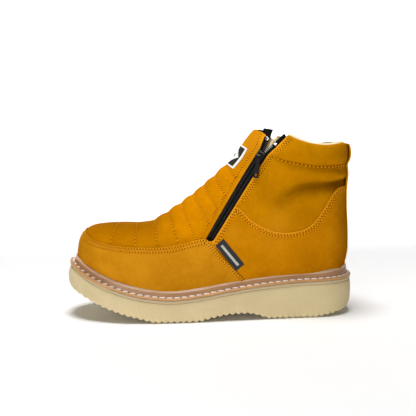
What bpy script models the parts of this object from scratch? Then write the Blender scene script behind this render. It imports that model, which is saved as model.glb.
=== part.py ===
"""Zip-sided work shoe for the left foot: nubuck upper on a stitched welt, midsole and wedge outsole.

The toe points along -X, the outer (lateral) side of the foot is -Y and +Z is up. The shoe stands on
z = 0 and the origin is the middle of its box, on the floor. Sizes below are in millimetres.
"""

import bisect
import math

import bmesh
import bpy
from mathutils import Matrix, Vector

MM = 0.001
GAP = 0.3
LATERAL, MEDIAL = -1, 1
SIDE_NAME = {LATERAL: "lateral", MEDIAL: "medial"}

# Driving sizes
OUTSOLE_LENGTH = 306.0
HALF_LENGTH = OUTSOLE_LENGTH / 2
MIDSOLE_THICK = 2.8
WELT_THICK = 3.2
BEAD_HEIGHT = 5.2
BEAD_INSET = 4.2
INSOLE_THICK = 4.0
UPPER_WALL = 2.4
OVERLAY_THICK = 1.2
BACKSTAY_THICK = 1.8
BACKSTAY_WIDTH = 20.0
BACKSTAY_TOP = 179.6
OVERLAY_LIFT = 1.5
BEYOND, ACROSS_ALL = 165.0, 90.0
FEATHER_INSET = 9.5
FEATHER_SHIFT = 2.0

# Plan of the sole: half-widths on each side before toe and heel are rounded off
PLAN = (  # x, lateral, medial
    (-153.0, 42.0, 52.0),
    (-120.0, 46.5, 53.0),
    (-85.0, 52.0, 54.0),
    (-55.0, 54.0, 53.0),
    (-25.0, 53.0, 50.0),
    (10.0, 49.5, 46.0),
    (50.0, 45.5, 43.0),
    (95.0, 42.0, 41.0),
    (153.0, 40.5, 40.5),
)
TOE_ROUND_FROM, HEEL_ROUND_FROM, ROUND_POWER = -88.0, 106.0, 2.2

# Side view of the outsole: tread line and top face
TREAD = (  # x, z
    (-153.0, 37.5),
    (-151.0, 34.0),
    (-146.0, 30.0),
    (-132.0, 22.5),
    (-114.0, 15.0),
    (-95.0, 8.6),
    (-77.0, 3.9),
    (-58.0, 0.0),
    (-20.0, 0.0),
    (0.0, 3.6),
    (18.0, 6.3),
    (34.0, 6.6),
    (47.0, 4.0),
    (60.0, 0.0),
    (106.0, 0.0),
    (122.0, 1.8),
    (136.0, 4.2),
    (147.0, 8.5),
    (151.5, 13.0),
    (153.0, 17.0),
)
SOLE_TOP = (  # x, z
    (-153.0, 53.0),
    (-128.0, 41.6),
    (-97.0, 30.6),
    (-70.0, 24.2),
    (-42.0, 20.8),
    (-15.0, 22.4),
    (20.0, 27.8),
    (60.0, 32.8),
    (105.0, 36.2),
    (153.0, 35.6),
)
RIPPLE_PITCH, RIPPLE_NOTCH, RIPPLE_DEPTH = 6.4, 2.6, 1.7
RIPPLE_FROM, RIPPLE_TO = -144.0, 137.0
WALL_SWELL_AT, BOTTOM_INSET, TOP_INSET = 0.4, 1.4, 0.8

# The last, as a fan of sections: each runs from its foot on the feather line, or on the back of the
# heel, up to its crown on the instep. Columns: crown x and z, foot x or back z, half-widths,
# share of the way up where the section is widest, roundness of the upper and lower arc.
SECTIONS = (
    # crown_x, crown_z, foot, lateral, medial, widest, top_power, foot_power
    (-141.5, 68.0, -141.5, 0.0, 0.0, 0.30, 2.6, 2.0),
    (-140.4, 78.0, -140.3, 12.5, 15.0, 0.30, 2.6, 2.0),
    (-137.0, 86.5, -136.8, 23.0, 28.5, 0.30, 2.6, 2.0),
    (-131.0, 92.4, -131.0, 31.5, 38.0, 0.30, 2.7, 2.0),
    (-122.0, 95.6, -122.0, 38.0, 43.5, 0.30, 2.7, 2.0),
    (-108.0, 97.2, -108.0, 43.5, 46.5, 0.28, 2.7, 2.0),
    (-88.0, 97.0, -88.0, 46.8, 48.0, 0.28, 2.6, 2.0),
    (-68.0, 96.6, -67.0, 48.2, 47.6, 0.28, 2.5, 2.0),
    (-55.0, 101.2, -44.0, 48.0, 46.0, 0.28, 2.4, 2.0),
    (-44.5, 109.0, -15.0, 46.5, 43.5, 0.28, 2.3, 2.0),
    (-31.5, 117.6, 14.0, 44.0, 41.0, 0.28, 2.25, 2.0),
    (-18.3, 127.6, 44.0, 42.0, 39.4, 0.30, 2.2, 2.1),
    (-7.8, 137.0, 68.0, 40.6, 38.6, 0.32, 2.2, 2.2),
    (5.1, 147.6, 97.0, 39.4, 38.0, 0.34, 2.2, 2.3),
    (16.0, 157.6, 128.0, 38.6, 37.6, 0.36, 2.2, 2.4),
    (23.5, 166.6, 141.0, 38.0, 37.3, 0.38, 2.2, 2.4),
    (28.5, 173.4, 145.5, 37.6, 37.0, 0.39, 2.2, 2.4),
    (33.0, 180.2, 80.0, 37.2, 36.8, 0.40, 2.2, 2.4),
    (37.5, 186.6, 108.0, 37.0, 36.6, 0.42, 2.2, 2.4),
    (41.4, 191.4, 134.0, 37.0, 36.6, 0.44, 2.2, 2.3),
    (44.4, 194.4, 158.0, 37.4, 37.0, 0.45, 2.2, 2.3),
    (47.0, 197.0, 181.5, 38.0, 37.6, 0.46, 2.2, 2.3),
)
HEEL_SECTION = 16
LAST_SECTION = len(SECTIONS) - 1
BACK = (  # z, x of the back of the heel
    (48.0, 145.4),
    (70.0, 147.2),
    (90.0, 146.8),
    (115.0, 145.4),
    (130.0, 145.2),
    (148.0, 146.6),
    (159.0, 146.4),
    (171.0, 147.4),
    (182.0, 147.0),
)
COLLAR_DIP, DIP_FROM_SECTION, DIP_END, DIP_POWER = 8.0, 17.5, 0.76, 1.2
COLLAR_PUFF, PUFF_FADE, COLLAR_SEAM, PINCH, PINCH_FADE = 2.2, 16.0, 20.0, 0.6, 0.5
QUILT_CROWN_X = (-99.0, -79.0, -60.0, -45.5, -32.0, -19.0, -7.5, 4.5, 17.0)
QUILT_RISE = (0.3, 0.4, 0.9, 1.5, 1.7, 1.8, 1.9, 1.6)
QUILT_FADE, LOW_RIDGE = 6.0, 0.5
SHAFT_SECTIONS = (17.0, 18.0, 19.0, 19.6, 20.0, 20.35, 20.7, 21.0)
TOE_SECTIONS = (0.0, 0.6, 1.3, 2.1, 3.0, 3.8, 4.6)
SIDE_COLUMNS, ARC_SAMPLES, ACROSS_WEIGHT = 11, 80, 2.0

# Seams and the zip, as seen from the side
MOC_SEAM = (  # x, z
    (-150.0, 96.0),
    (-134.0, 91.6),
    (-130.0, 87.6),
    (-122.5, 84.0),
    (-107.0, 80.2),
    (-86.0, 78.0),
    (-66.0, 77.2),
    (-50.0, 77.8),
    (-35.0, 80.2),
    (-20.0, 83.8),
    (-8.6, 86.2),
)
VAMP_REAR = ((-8.6, 86.2), (34.5, 40.5), (36.0, 39.0))
QUARTER_SEAM = (  # x, z
    (24.0, 118.6),
    (29.0, 114.1),
    (37.8, 105.1),
    (50.8, 96.9),
    (63.9, 91.9),
    (76.2, 90.6),
    (90.3, 92.5),
    (102.7, 98.8),
    (110.6, 107.9),
    (117.7, 119.0),
    (125.3, 130.4),
    (132.1, 136.6),
    (141.0, 138.0),
    (BEYOND, 138.6),
)
ZIP_FOOT, ZIP_FORK, ZIP_TOP = (-3.6, 86.0), (53.2, 174.4), (65.6, 193.4)
ZIP_SLOT, ZIP_SLOT_AT_FORK, ZIP_SLOT_AT_TOP = 7.8, 9.8, 20.0
PAST_COLLAR = 0.6
TAPE_COVERED = 4.5
TAPE_THICK = 0.8
COIL_WIDTH, COIL_THICK, COIL_FROM = 5.2, 1.5, 0.012
SLIDER_BELOW_FORK = 7.5
SLIDER_LENGTH, SLIDER_WIDTH, SLIDER_THICK = 13.0, 8.4, 2.6
SLIDER_TAPER, SLIDER_EDGE = 0.66, 0.7
BAR_RADIUS, BAR_LENGTH, POST_WIDTH, POST_DEPTH = 0.8, 4.2, 1.3, 2.6
EYE_RADIUS, EYE_BORE, EYE_LENGTH, EYE_CLEARANCE = 1.9, 1.1, 3.6, 0.5
PULL_LENGTH, PULL_WIDTH, PULL_THICK, PULL_CORNER = 23.0, 5.6, 1.6, 1.6
PULL_HOLE, PULL_HOLE_FROM_END = 1.5, 3.0
PULL_LEAN = math.radians(9.0)
PULL_HANGS = Vector((-0.16, 0.0, -0.99))

# Labels
PATCH_FOOT, PATCH_TOP, PATCH_WIDTH = (19.6, 161.0), (34.2, 181.4), 31.0
LABEL_MIDDLE, LABEL_LENGTH, LABEL_WIDTH, LABEL_TURN = (17.6, 69.2), 34.0, 10.4, math.radians(50.6)
LABEL_THICK = 0.7

# Colours and finish of each material: base colour, roughness, metallic
FINISHES = {
    "nubuck": ((0.56, 0.24, 0.012, 1.0), 0.85, 0.0),
    "outsole": ((0.66, 0.53, 0.30, 1.0), 0.7, 0.0),
    "midsole": ((0.60, 0.44, 0.26, 1.0), 0.6, 0.0),
    "welt": ((0.42, 0.24, 0.12, 1.0), 0.5, 0.0),
    "insole": ((0.72, 0.60, 0.38, 1.0), 0.9, 0.0),
    "zip": ((0.012, 0.011, 0.010, 1.0), 0.7, 0.0),
    "slider": ((0.010, 0.010, 0.010, 1.0), 0.35, 1.0),
    "patch": ((0.75, 0.74, 0.70, 1.0), 0.7, 0.0),
    "label": ((0.045, 0.045, 0.045, 1.0), 0.8, 0.0),
}


def smooth_curve(points):
    """A smooth curve through (position, value) points that never overshoots them."""
    at = [p[0] for p in points]
    values = [p[1] for p in points]
    steps = [b - a for a, b in zip(at, at[1:])]
    rises = [(b - a) / h for a, b, h in zip(values, values[1:], steps)]
    slopes = [rises[0]]
    for before, after in zip(rises, rises[1:]):
        slopes.append(2 * before * after / (before + after) if before * after > 0 else 0.0)
    slopes.append(rises[-1])

    def value(position):
        i = min(max(bisect.bisect_right(at, position) - 1, 0), len(steps) - 1)
        t = min(max((position - at[i]) / steps[i], 0.0), 1.0)
        rise = values[i + 1] - values[i]
        lift = t * t * (3 - 2 * t)
        start = t * (1 - t) * (1 - t) * steps[i] * slopes[i]
        end = t * t * (1 - t) * steps[i] * slopes[i + 1]
        return values[i] + rise * lift + start - end

    return value


def section_column(column):
    """A column of SECTIONS as a smooth function of the section number (uniform cubic B-spline)."""
    rows = [row[column] for row in SECTIONS]
    rows = [2 * rows[0] - rows[1], *rows, 2 * rows[-1] - rows[-2]]

    def value(number):
        i = min(int(number), LAST_SECTION - 1)
        t = number - i
        a, b, c, d = rows[i : i + 4] if i + 4 <= len(rows) else rows[-4:]
        return (
            a * (1 - t) ** 3
            + b * (3 * t**3 - 6 * t**2 + 4)
            + c * (-3 * t**3 + 3 * t**2 + 3 * t + 1)
            + d * t**3
        ) / 6

    return value


plan_half_width = {
    LATERAL: smooth_curve([(x, lateral) for x, lateral, _ in PLAN]),
    MEDIAL: smooth_curve([(x, medial) for x, _, medial in PLAN]),
}
tread_z = smooth_curve(TREAD)
sole_top_z = smooth_curve(SOLE_TOP)
back_x = smooth_curve(BACK)
crown_x, crown_z = section_column(0), section_column(1)
widest_half = {LATERAL: section_column(3), MEDIAL: section_column(4)}
widest_share, top_power, foot_power = section_column(5), section_column(6), section_column(7)
foot_x = smooth_curve([(i, row[2]) for i, row in enumerate(SECTIONS[: HEEL_SECTION + 1])])
moc_seam_z = smooth_curve(MOC_SEAM)


def midsole_top_z(x):
    return sole_top_z(x) + MIDSOLE_THICK


def welt_top_z(x):
    return midsole_top_z(x) + GAP + WELT_THICK


def feather_z(x):
    """Height of the lower edge of the upper, inside the welt."""
    return midsole_top_z(x) + GAP


heel_foot = feather_z(SECTIONS[HEEL_SECTION][2])
back_z = smooth_curve(
    [(HEEL_SECTION, heel_foot)] + [(i, SECTIONS[i][2]) for i in range(HEEL_SECTION + 1, LAST_SECTION + 1)]
)


def rounding(x):
    """Share of the plan's half-width that is left where toe and heel are rounded off."""
    toe = max(0.0, (TOE_ROUND_FROM - x) / (TOE_ROUND_FROM + HALF_LENGTH))
    heel = max(0.0, (x - HEEL_ROUND_FROM) / (HALF_LENGTH - HEEL_ROUND_FROM))
    power = ROUND_POWER
    return max(0.0, 1 - toe**power) ** (1 / power) * max(0.0, 1 - heel**power) ** (1 / power)


def plan_point(x, side, inset):
    """Point of the plan's outline at station x, moved in by inset."""
    half = (plan_half_width[side](x) - inset) * rounding(x)
    return x * (1 - inset / HALF_LENGTH), side * half


def feather_half_width(x, side):
    station = (x - FEATHER_SHIFT) / (1 - FEATHER_INSET / HALF_LENGTH)
    return abs(plan_point(max(min(station, HALF_LENGTH), -HALF_LENGTH), side, FEATHER_INSET)[1])


def section_foot(number):
    if number <= HEEL_SECTION:
        x = foot_x(number)
        return x, feather_z(x)
    z = back_z(number)
    return back_x(z), z


def collar_dip(number, share):
    """How far the collar's edge sinks between the zip and the back seam."""
    weight = max(0.0, (number - DIP_FROM_SECTION) / (LAST_SECTION - DIP_FROM_SECTION))
    if share >= DIP_END or weight == 0:
        return 0.0
    return COLLAR_DIP * weight * math.sin(math.pi * share / DIP_END) ** DIP_POWER


def upper_point(number, side, share_of_arc):
    """Point of the upper's outer face. share_of_arc runs 0 to 1 up the lower arc and 1 to 2 over the crown."""
    fx, fz = section_foot(number)
    cx, cz = crown_x(number), crown_z(number)
    half = max(widest_half[side](number), 1e-6)
    foot_half = feather_half_width(fx, side) if number < HEEL_SECTION else 0.0
    kept = min(foot_half / half, 0.985)
    middle = widest_share(number)
    if share_of_arc >= 1:
        angle = (share_of_arc - 1) * math.pi / 2
        power = 2 / top_power(number)
        width = half * max(math.cos(angle), 0.0) ** power
        along = middle + (1 - middle) * math.sin(angle) ** power
    else:
        n = foot_power(number)
        reach = (1 - kept**n) ** (1 / n)
        angle = (1 - share_of_arc) * math.asin(reach ** (n / 2))
        width = half * math.cos(angle) ** (2 / n)
        along = middle * (1 - math.sin(angle) ** (2 / n) / reach)
    x, z = fx + (cx - fx) * along, fz + (cz - fz) * along
    return Vector((x, side * width, z - collar_dip(number, along)))


def section_at(value, column):
    """Section number where a rising column, such as the crown's x, has that value."""
    low, high = 0.0, float(LAST_SECTION)
    for _ in range(40):
        middle = (low + high) / 2
        if column(middle) < value:
            low = middle
        else:
            high = middle
    return low


def zip_line(share):
    """Point of the zip's middle line in the side view: straight to the fork, then on to the collar."""
    foot, fork, top = Vector(ZIP_FOOT), Vector(ZIP_FORK), Vector(ZIP_TOP)
    straight = (fork - foot).length
    whole = straight + (top - fork).length
    run = share * whole
    if run <= straight:
        return foot + (fork - foot) * (run / straight)
    return fork + (top - fork) * ((run - straight) / (whole - straight))


ZIP_ALONG = (Vector(ZIP_FORK) - Vector(ZIP_FOOT)).normalized()
ZIP_ACROSS = Vector((ZIP_ALONG.y, -ZIP_ALONG.x))
FORK_SHARE = (Vector(ZIP_FORK) - Vector(ZIP_FOOT)).length / (
    (Vector(ZIP_FORK) - Vector(ZIP_FOOT)).length + (Vector(ZIP_TOP) - Vector(ZIP_FORK)).length
)


def in_front_panel(point):
    """Depth of a point inside the front panel, between the moc seam and the zips; under 0 outside it."""
    from_zip = (Vector(ZIP_FOOT) - Vector((point.x, point.z))).dot(ZIP_ACROSS) - ZIP_SLOT / 2
    above_seam = point.z - moc_seam_z(point.x)
    return min(from_zip, above_seam)


QUILT_SECTIONS = [section_at(x, crown_x) for x in QUILT_CROWN_X]


def quilt_rise(number, point):
    """How far the padded ridges between the quilting seams stand up."""
    depth = in_front_panel(point)
    if depth <= 0:
        return 0.0
    for low, high, rise in zip(QUILT_SECTIONS, QUILT_SECTIONS[1:], QUILT_RISE):
        if low < number < high:
            wave = math.sin(math.pi * (number - low) / (high - low))
            return rise * wave * min(1.0, depth / QUILT_FADE)
    return 0.0


def collar_puff(number, point):
    """The padded collar's swell behind the zip, and the pinch at its seam."""
    behind = (Vector((point.x, point.z)) - Vector(ZIP_FOOT)).dot(ZIP_ACROSS) - ZIP_SLOT / 2
    weight = min(max(behind / PUFF_FADE, 0.0), 1.0)
    share = (number - COLLAR_SEAM) / (LAST_SECTION - COLLAR_SEAM)
    if share >= 0:
        return weight * (COLLAR_PUFF * math.sin(math.pi * share) - PINCH * (1 - share) ** 4)
    return -weight * PINCH * max(0.0, 1 + share / PINCH_FADE)


def section_numbers(plain):
    """Sections of the mesh: at the toe, at each quilting seam and ridge unless plain, and up the shaft."""
    numbers = list(TOE_SECTIONS)
    if plain:
        return numbers + list(range(math.ceil(TOE_SECTIONS[-1] + 0.3), LAST_SECTION + 1))
    for low, high, rise in zip(QUILT_SECTIONS, QUILT_SECTIONS[1:], QUILT_RISE):
        numbers += [low, (low + high) / 2] if rise > LOW_RIDGE else [low]
    numbers.append(QUILT_SECTIONS[-1])
    numbers += [n for n in (15.2, 15.7, HEEL_SECTION) if n > numbers[-1] + 0.2]
    return numbers + [n for n in SHAFT_SECTIONS if n > HEEL_SECTION]


def half_section(number, side):
    """Points of one side of a section from foot to crown, closer together where it turns across the shoe."""
    samples = [upper_point(number, side, 2 * i / ARC_SAMPLES) for i in range(ARC_SAMPLES + 1)]
    run = [0.0]
    for a, b in zip(samples, samples[1:]):
        run.append(run[-1] + math.hypot(b.x - a.x, b.z - a.z) + ACROSS_WEIGHT * abs(b.y - a.y))
    points = []
    for step in range(SIDE_COLUMNS + 1):
        wanted = run[-1] * step / SIDE_COLUMNS
        i = min(max(bisect.bisect_right(run, wanted) - 1, 0), ARC_SAMPLES - 1)
        part = (wanted - run[i]) / (run[i + 1] - run[i])
        points.append(upper_point(number, side, 2 * (i + part) / ARC_SAMPLES))
    return points


def upper_surface(plain=False):
    """The upper's outer face as an open mesh: open below along the feather line and above at the collar."""
    bm = bmesh.new()
    section_of = bm.verts.layers.float.new("section")
    rows = []
    for number in section_numbers(plain):
        around = half_section(number, LATERAL) + half_section(number, MEDIAL)[-2::-1]
        row = [bm.verts.new(point) for point in around]
        for vert in row:
            vert[section_of] = number
        rows.append(row)
    for before, after in zip(rows, rows[1:]):
        for i in range(len(before) - 1):
            bm.faces.new((before[i], before[i + 1], after[i + 1], after[i]))
    bmesh.ops.remove_doubles(bm, verts=bm.verts, dist=0.01)
    bmesh.ops.recalc_face_normals(bm, faces=bm.faces)
    bm.normal_update()
    padded = [] if plain else [(v, v.normal.copy()) for v in bm.verts]
    for vert, normal in padded:
        number = vert[section_of]
        vert.co += normal * (quilt_rise(number, vert.co) + collar_puff(number, vert.co))
    bmesh.ops.triangulate(bm, faces=bm.faces)
    return bm


def collection(name):
    made = bpy.data.collections.new(name)
    bpy.context.scene.collection.children.link(made)
    return made


def finish_material(name):
    if name in bpy.data.materials:
        return bpy.data.materials[name]
    colour, roughness, metallic = FINISHES[name]
    material = bpy.data.materials.new(name)
    material.use_nodes = True
    shader = material.node_tree.nodes["Principled BSDF"]
    shader.inputs["Base Color"].default_value = colour
    shader.inputs["Roughness"].default_value = roughness
    shader.inputs["Metallic"].default_value = metallic
    material.diffuse_color = colour
    return material


def add_object(name, bm, finish=None, smooth=True):
    """Links a bmesh, drawn in millimetres, as an object: a part with its finish, or a hidden cutter."""
    if bm.calc_volume(signed=True) < 0:
        bmesh.ops.reverse_faces(bm, faces=bm.faces)
    bmesh.ops.scale(bm, vec=(MM, MM, MM), verts=bm.verts)
    mesh = bpy.data.meshes.new(name)
    bm.to_mesh(mesh)
    bm.free()
    obj = bpy.data.objects.new(name, mesh)
    if finish is None:
        obj.hide_render = True
        obj.display_type = "WIRE"
        CUTTERS.objects.link(obj)
        return obj
    mesh.materials.append(finish_material(finish))
    if smooth:
        mesh.shade_smooth()
        mesh.set_sharp_from_angle(angle=math.radians(40))
    PARTS.objects.link(obj)
    return obj


def boolean(obj, cutter, operation):
    modifier = obj.modifiers.new(f"{operation.lower()} {cutter.name}", "BOOLEAN")
    modifier.operation = operation
    modifier.object = cutter
    return modifier


def closed_form(name, offset, grow=0.0, plain=False):
    """The upper's outer face moved out by offset and closed below and above; grow lengthens both ends."""
    bm = upper_surface(plain)
    bm.normal_update()
    for vert, normal in [(v, v.normal.copy()) for v in bm.verts]:
        vert.co += normal * offset
    rims = [e for e in bm.edges if e.is_boundary]
    caps = bmesh.ops.holes_fill(bm, edges=rims, sides=0)["faces"]
    bmesh.ops.recalc_face_normals(bm, faces=bm.faces)
    if grow:
        for cap in caps:
            way = 1 if cap.calc_center_median().z > SECTIONS[0][1] else -1
            made = bmesh.ops.extrude_face_region(bm, geom=[cap])["geom"]
            raised = [g for g in made if isinstance(g, bmesh.types.BMVert)]
            bmesh.ops.translate(bm, vec=(0, 0, way * grow), verts=raised)
            if cap.is_valid:
                bmesh.ops.delete(bm, geom=[cap], context="FACES_ONLY")
        bmesh.ops.recalc_face_normals(bm, faces=bm.faces)
    bmesh.ops.triangulate(bm, faces=bm.faces)
    return add_object(name, bm)


def prism(name, outline, low_y, high_y):
    """A cutter: an outline of the side view, carried across the shoe from low_y to high_y."""
    bm = bmesh.new()
    face = bm.faces.new([bm.verts.new((x, low_y, z)) for x, z in outline])
    raised = bmesh.ops.extrude_face_region(bm, geom=[face])["geom"]
    verts = [g for g in raised if isinstance(g, bmesh.types.BMVert)]
    bmesh.ops.translate(bm, vec=(0, high_y - low_y, 0), verts=verts)
    bmesh.ops.recalc_face_normals(bm, faces=bm.faces)
    return add_object(name, bm)


def layer(name, finish, outline, inner, outer, low_y, high_y):
    """A piece of even thickness on the upper: the outline's prism between two larger forms."""
    piece = prism(name, outline, low_y, high_y)
    CUTTERS.objects.unlink(piece)
    PARTS.objects.link(piece)
    piece.hide_render = False
    piece.display_type = "TEXTURED"
    piece.data.materials.append(finish_material(finish))
    boolean(piece, outer, "INTERSECT")
    boolean(piece, inner, "DIFFERENCE")
    return piece


def stations(count):
    """Stations along the sole, closer together at toe and heel."""
    return [-HALF_LENGTH * math.cos(math.pi * i / count) for i in range(count + 1)]


def plate(xs, rims):
    """A closed plate over the plan. Each rim is (inset, height function), listed from the bottom up."""
    bm = bmesh.new()
    rings = []
    for x in xs:
        ring = []
        for side, order in ((LATERAL, rims), (MEDIAL, rims[::-1])):
            for inset, height in order:
                px, py = plan_point(x, side, inset)
                ring.append(bm.verts.new((px, py, height(px))))
        rings.append(ring)
    for before, after in zip(rings, rings[1:]):
        for i in range(len(before)):
            j = (i + 1) % len(before)
            bm.faces.new((before[i], before[j], after[j], after[i]))
    bmesh.ops.remove_doubles(bm, verts=bm.verts, dist=0.01)
    bmesh.ops.dissolve_degenerate(bm, edges=bm.edges, dist=0.005)
    bmesh.ops.recalc_face_normals(bm, faces=bm.faces)
    return bm


def rippled_tread_z(px):
    """The tread line with its cross ripples: flat crests and narrow notches."""
    x = px / (1 - BOTTOM_INSET / HALF_LENGTH)
    if not RIPPLE_FROM < x < RIPPLE_TO:
        return tread_z(x)
    phase = (x - RIPPLE_FROM) % RIPPLE_PITCH
    depth = max(0.0, 1 - abs(phase - RIPPLE_PITCH / 2) / (RIPPLE_NOTCH / 2))
    return tread_z(x) + RIPPLE_DEPTH * depth


def outsole_stations():
    xs = [x for x in stations(40) if not RIPPLE_FROM < x < RIPPLE_TO]
    count = int((RIPPLE_TO - RIPPLE_FROM) / RIPPLE_PITCH)
    for i in range(count):
        middle = RIPPLE_FROM + (i + 0.5) * RIPPLE_PITCH
        xs += [middle - RIPPLE_NOTCH / 2, middle, middle + RIPPLE_NOTCH / 2]
    return sorted(xs)


def make_outsole():
    def swell_z(x):
        return tread_z(x) + WALL_SWELL_AT * (sole_top_z(x) - tread_z(x))

    rims = ((BOTTOM_INSET, rippled_tread_z), (0.0, swell_z), (TOP_INSET, sole_top_z))
    add_object("outsole", plate(outsole_stations(), rims), "outsole", smooth=False)


def make_midsole():
    rims = ((TOP_INSET, lambda x: sole_top_z(x) + GAP), (TOP_INSET, midsole_top_z))
    add_object("midsole", plate(stations(32), rims), "midsole", smooth=False)


def make_welt(clear_of):
    """Flat welt with a raised bead along the upper, cut out around the upper's outer face."""
    flat = ((0.6, lambda x: midsole_top_z(x) + GAP), (0.0, lambda x: welt_top_z(x) - 1.2), (0.8, welt_top_z))
    bead = (
        (BEAD_INSET, lambda x: welt_top_z(x) - WELT_THICK / 2),
        (BEAD_INSET, lambda x: welt_top_z(x) + BEAD_HEIGHT * 0.45),
        (BEAD_INSET + 1.4, lambda x: welt_top_z(x) + BEAD_HEIGHT),
    )
    welt = add_object("welt", plate(stations(34), flat), "welt")
    ridge = add_object("welt bead", plate(stations(34), bead))
    boolean(welt, ridge, "UNION")
    boolean(welt, clear_of, "DIFFERENCE")


def make_insole():
    inset = FEATHER_INSET + UPPER_WALL + 1.4

    def insole_plate_z(height):
        return lambda x: feather_z(x + FEATHER_SHIFT) + height

    rims = ((inset, insole_plate_z(GAP)), (inset, insole_plate_z(GAP + INSOLE_THICK)))
    bm = plate(stations(28), rims)
    bmesh.ops.translate(bm, vec=(FEATHER_SHIFT, 0, 0), verts=bm.verts)
    add_object("insole", bm, "insole", smooth=False)


def zip_slot_outline():
    """Outline of the zip's opening in the side view, widening above the fork up past the collar."""
    foot, fork, top = Vector(ZIP_FOOT), Vector(ZIP_FORK), Vector(ZIP_TOP)
    past = top + (top - fork) * PAST_COLLAR
    past_slot = ZIP_SLOT_AT_TOP + (ZIP_SLOT_AT_TOP - ZIP_SLOT_AT_FORK) * PAST_COLLAR
    line = ((foot, ZIP_SLOT), (fork, ZIP_SLOT_AT_FORK), (top, ZIP_SLOT_AT_TOP), (past, past_slot))
    front = [tuple(middle - ZIP_ACROSS * width / 2) for middle, width in line]
    rear = [tuple(middle + ZIP_ACROSS * width / 2) for middle, width in line]
    return front + rear[::-1]


def make_upper():
    upper = add_object("upper", upper_surface(), "nubuck")
    wall = upper.modifiers.new("wall", "SOLIDIFY")
    wall.thickness = UPPER_WALL * MM
    wall.offset = -1.0
    slot = prism("zip slot cutter", zip_slot_outline(), -ACROSS_ALL, ACROSS_ALL)
    boolean(upper, slot, "DIFFERENCE")


def seam_points(seam, steps=3):
    """A seam's table read as a smooth line with a few points for each of its rows."""
    line = smooth_curve(seam)
    ends = zip(seam, seam[1:])
    xs = [a[0] + (b[0] - a[0]) * i / steps for a, b in ends for i in range(steps)] + [seam[-1][0]]
    return [(x, line(x)) for x in xs]


def overlay_foot_z(x):
    """Lower edge of the overlays, hidden behind the welt's bead."""
    return feather_z(x) + OVERLAY_LIFT


def feather_line(start, end, steps=16):
    xs = [start + (end - start) * i / steps for i in range(steps + 1)]
    return [(x, overlay_foot_z(x)) for x in xs]


def make_overlays(inner, outer, backstay_outer):
    vamp = seam_points(MOC_SEAM, 2) + [VAMP_REAR[1], *feather_line(VAMP_REAR[-1][0], -BEYOND), (-BEYOND, 96.0)]
    layer("vamp", "nubuck", vamp, inner, outer, -ACROSS_ALL, ACROSS_ALL)
    slot_rear = Vector(ZIP_FOOT) + ZIP_ACROSS * (ZIP_SLOT / 2 + GAP)
    shift = 2 * GAP
    vamp_line = [(x + shift, z + shift) for x, z in VAMP_REAR[1::-1]]
    vamp_line[-1] = tuple(slot_rear - ZIP_ALONG * 3.5)
    seam = seam_points(QUARTER_SEAM, 2)
    quarter = [tuple(slot_rear), *seam, *feather_line(BEYOND, VAMP_REAR[-1][0] + shift), *vamp_line]
    edge = BACKSTAY_WIDTH / 2 + GAP
    for side in (LATERAL, MEDIAL):
        low_y, high_y = sorted((side * edge, side * ACROSS_ALL))
        layer(f"quarter_{SIDE_NAME[side]}", "nubuck", quarter, inner, outer, low_y, high_y)
    low = welt_top_z(SECTIONS[HEEL_SECTION][2]) + BEAD_HEIGHT + 2 * GAP
    strip = [(100.0, low), (BEYOND, low), (BEYOND, BACKSTAY_TOP), (100.0, BACKSTAY_TOP)]
    half = BACKSTAY_WIDTH / 2
    layer("backstay", "nubuck", strip, inner, backstay_outer, -half, half)


def zip_strip(offset_from, offset_to, start, end, steps=1):
    """Outline in the side view of a strip along the zip, between two offsets across its middle line."""
    shares = [start + (end - start) * i / steps for i in range(steps + 1)]
    shares = sorted({*shares, FORK_SHARE})
    near = [zip_line(s) + ZIP_ACROSS * offset_from(s) for s in shares]
    far = [zip_line(s) + ZIP_ACROSS * offset_to(s) for s in shares]
    return [tuple(p) for p in near + far[::-1]]


def zip_opening(share):
    """Half the gap between the two rows of teeth at a share of the zip's length."""
    if share <= FORK_SHARE:
        return 0.0
    opened = (share - FORK_SHARE) / (1 - FORK_SHARE)
    return opened * (ZIP_SLOT_AT_TOP - ZIP_SLOT_AT_FORK) / 2


def make_zip(side, tape_forms, coil_forms):
    name = SIDE_NAME[side]
    low_y, high_y = sorted((0.0, side * ACROSS_ALL))
    half_slot = ZIP_SLOT / 2
    for which, way in (("front", -1), ("rear", 1)):
        inside = zip_strip(
            lambda s: way * (zip_opening(s) + GAP / 2),
            lambda s: way * (zip_opening(s) + half_slot + TAPE_COVERED),
            -0.03,
            0.99,
        )
        layer(f"zip_tape_{which}_{name}", "zip", inside, *tape_forms, low_y, high_y)
    half_coil = COIL_WIDTH / 2
    closed = [COIL_FROM, FORK_SHARE / 2, FORK_SHARE]
    opened = [0.98]
    left = [zip_line(s) - ZIP_ACROSS * (half_coil + zip_opening(s)) for s in closed + opened]
    right = [zip_line(s) + ZIP_ACROSS * (half_coil + zip_opening(s)) for s in closed + opened]
    notch_left = [zip_line(s) - ZIP_ACROSS * (zip_opening(s)) for s in opened]
    notch_right = [zip_line(s) + ZIP_ACROSS * (zip_opening(s)) for s in opened]
    crotch = [zip_line(FORK_SHARE)]
    coil = left + notch_left[::-1] + crotch + notch_right + right[::-1]
    layer(f"zip_coil_{name}", "zip", [tuple(p) for p in coil], *coil_forms, low_y, high_y)


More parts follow.
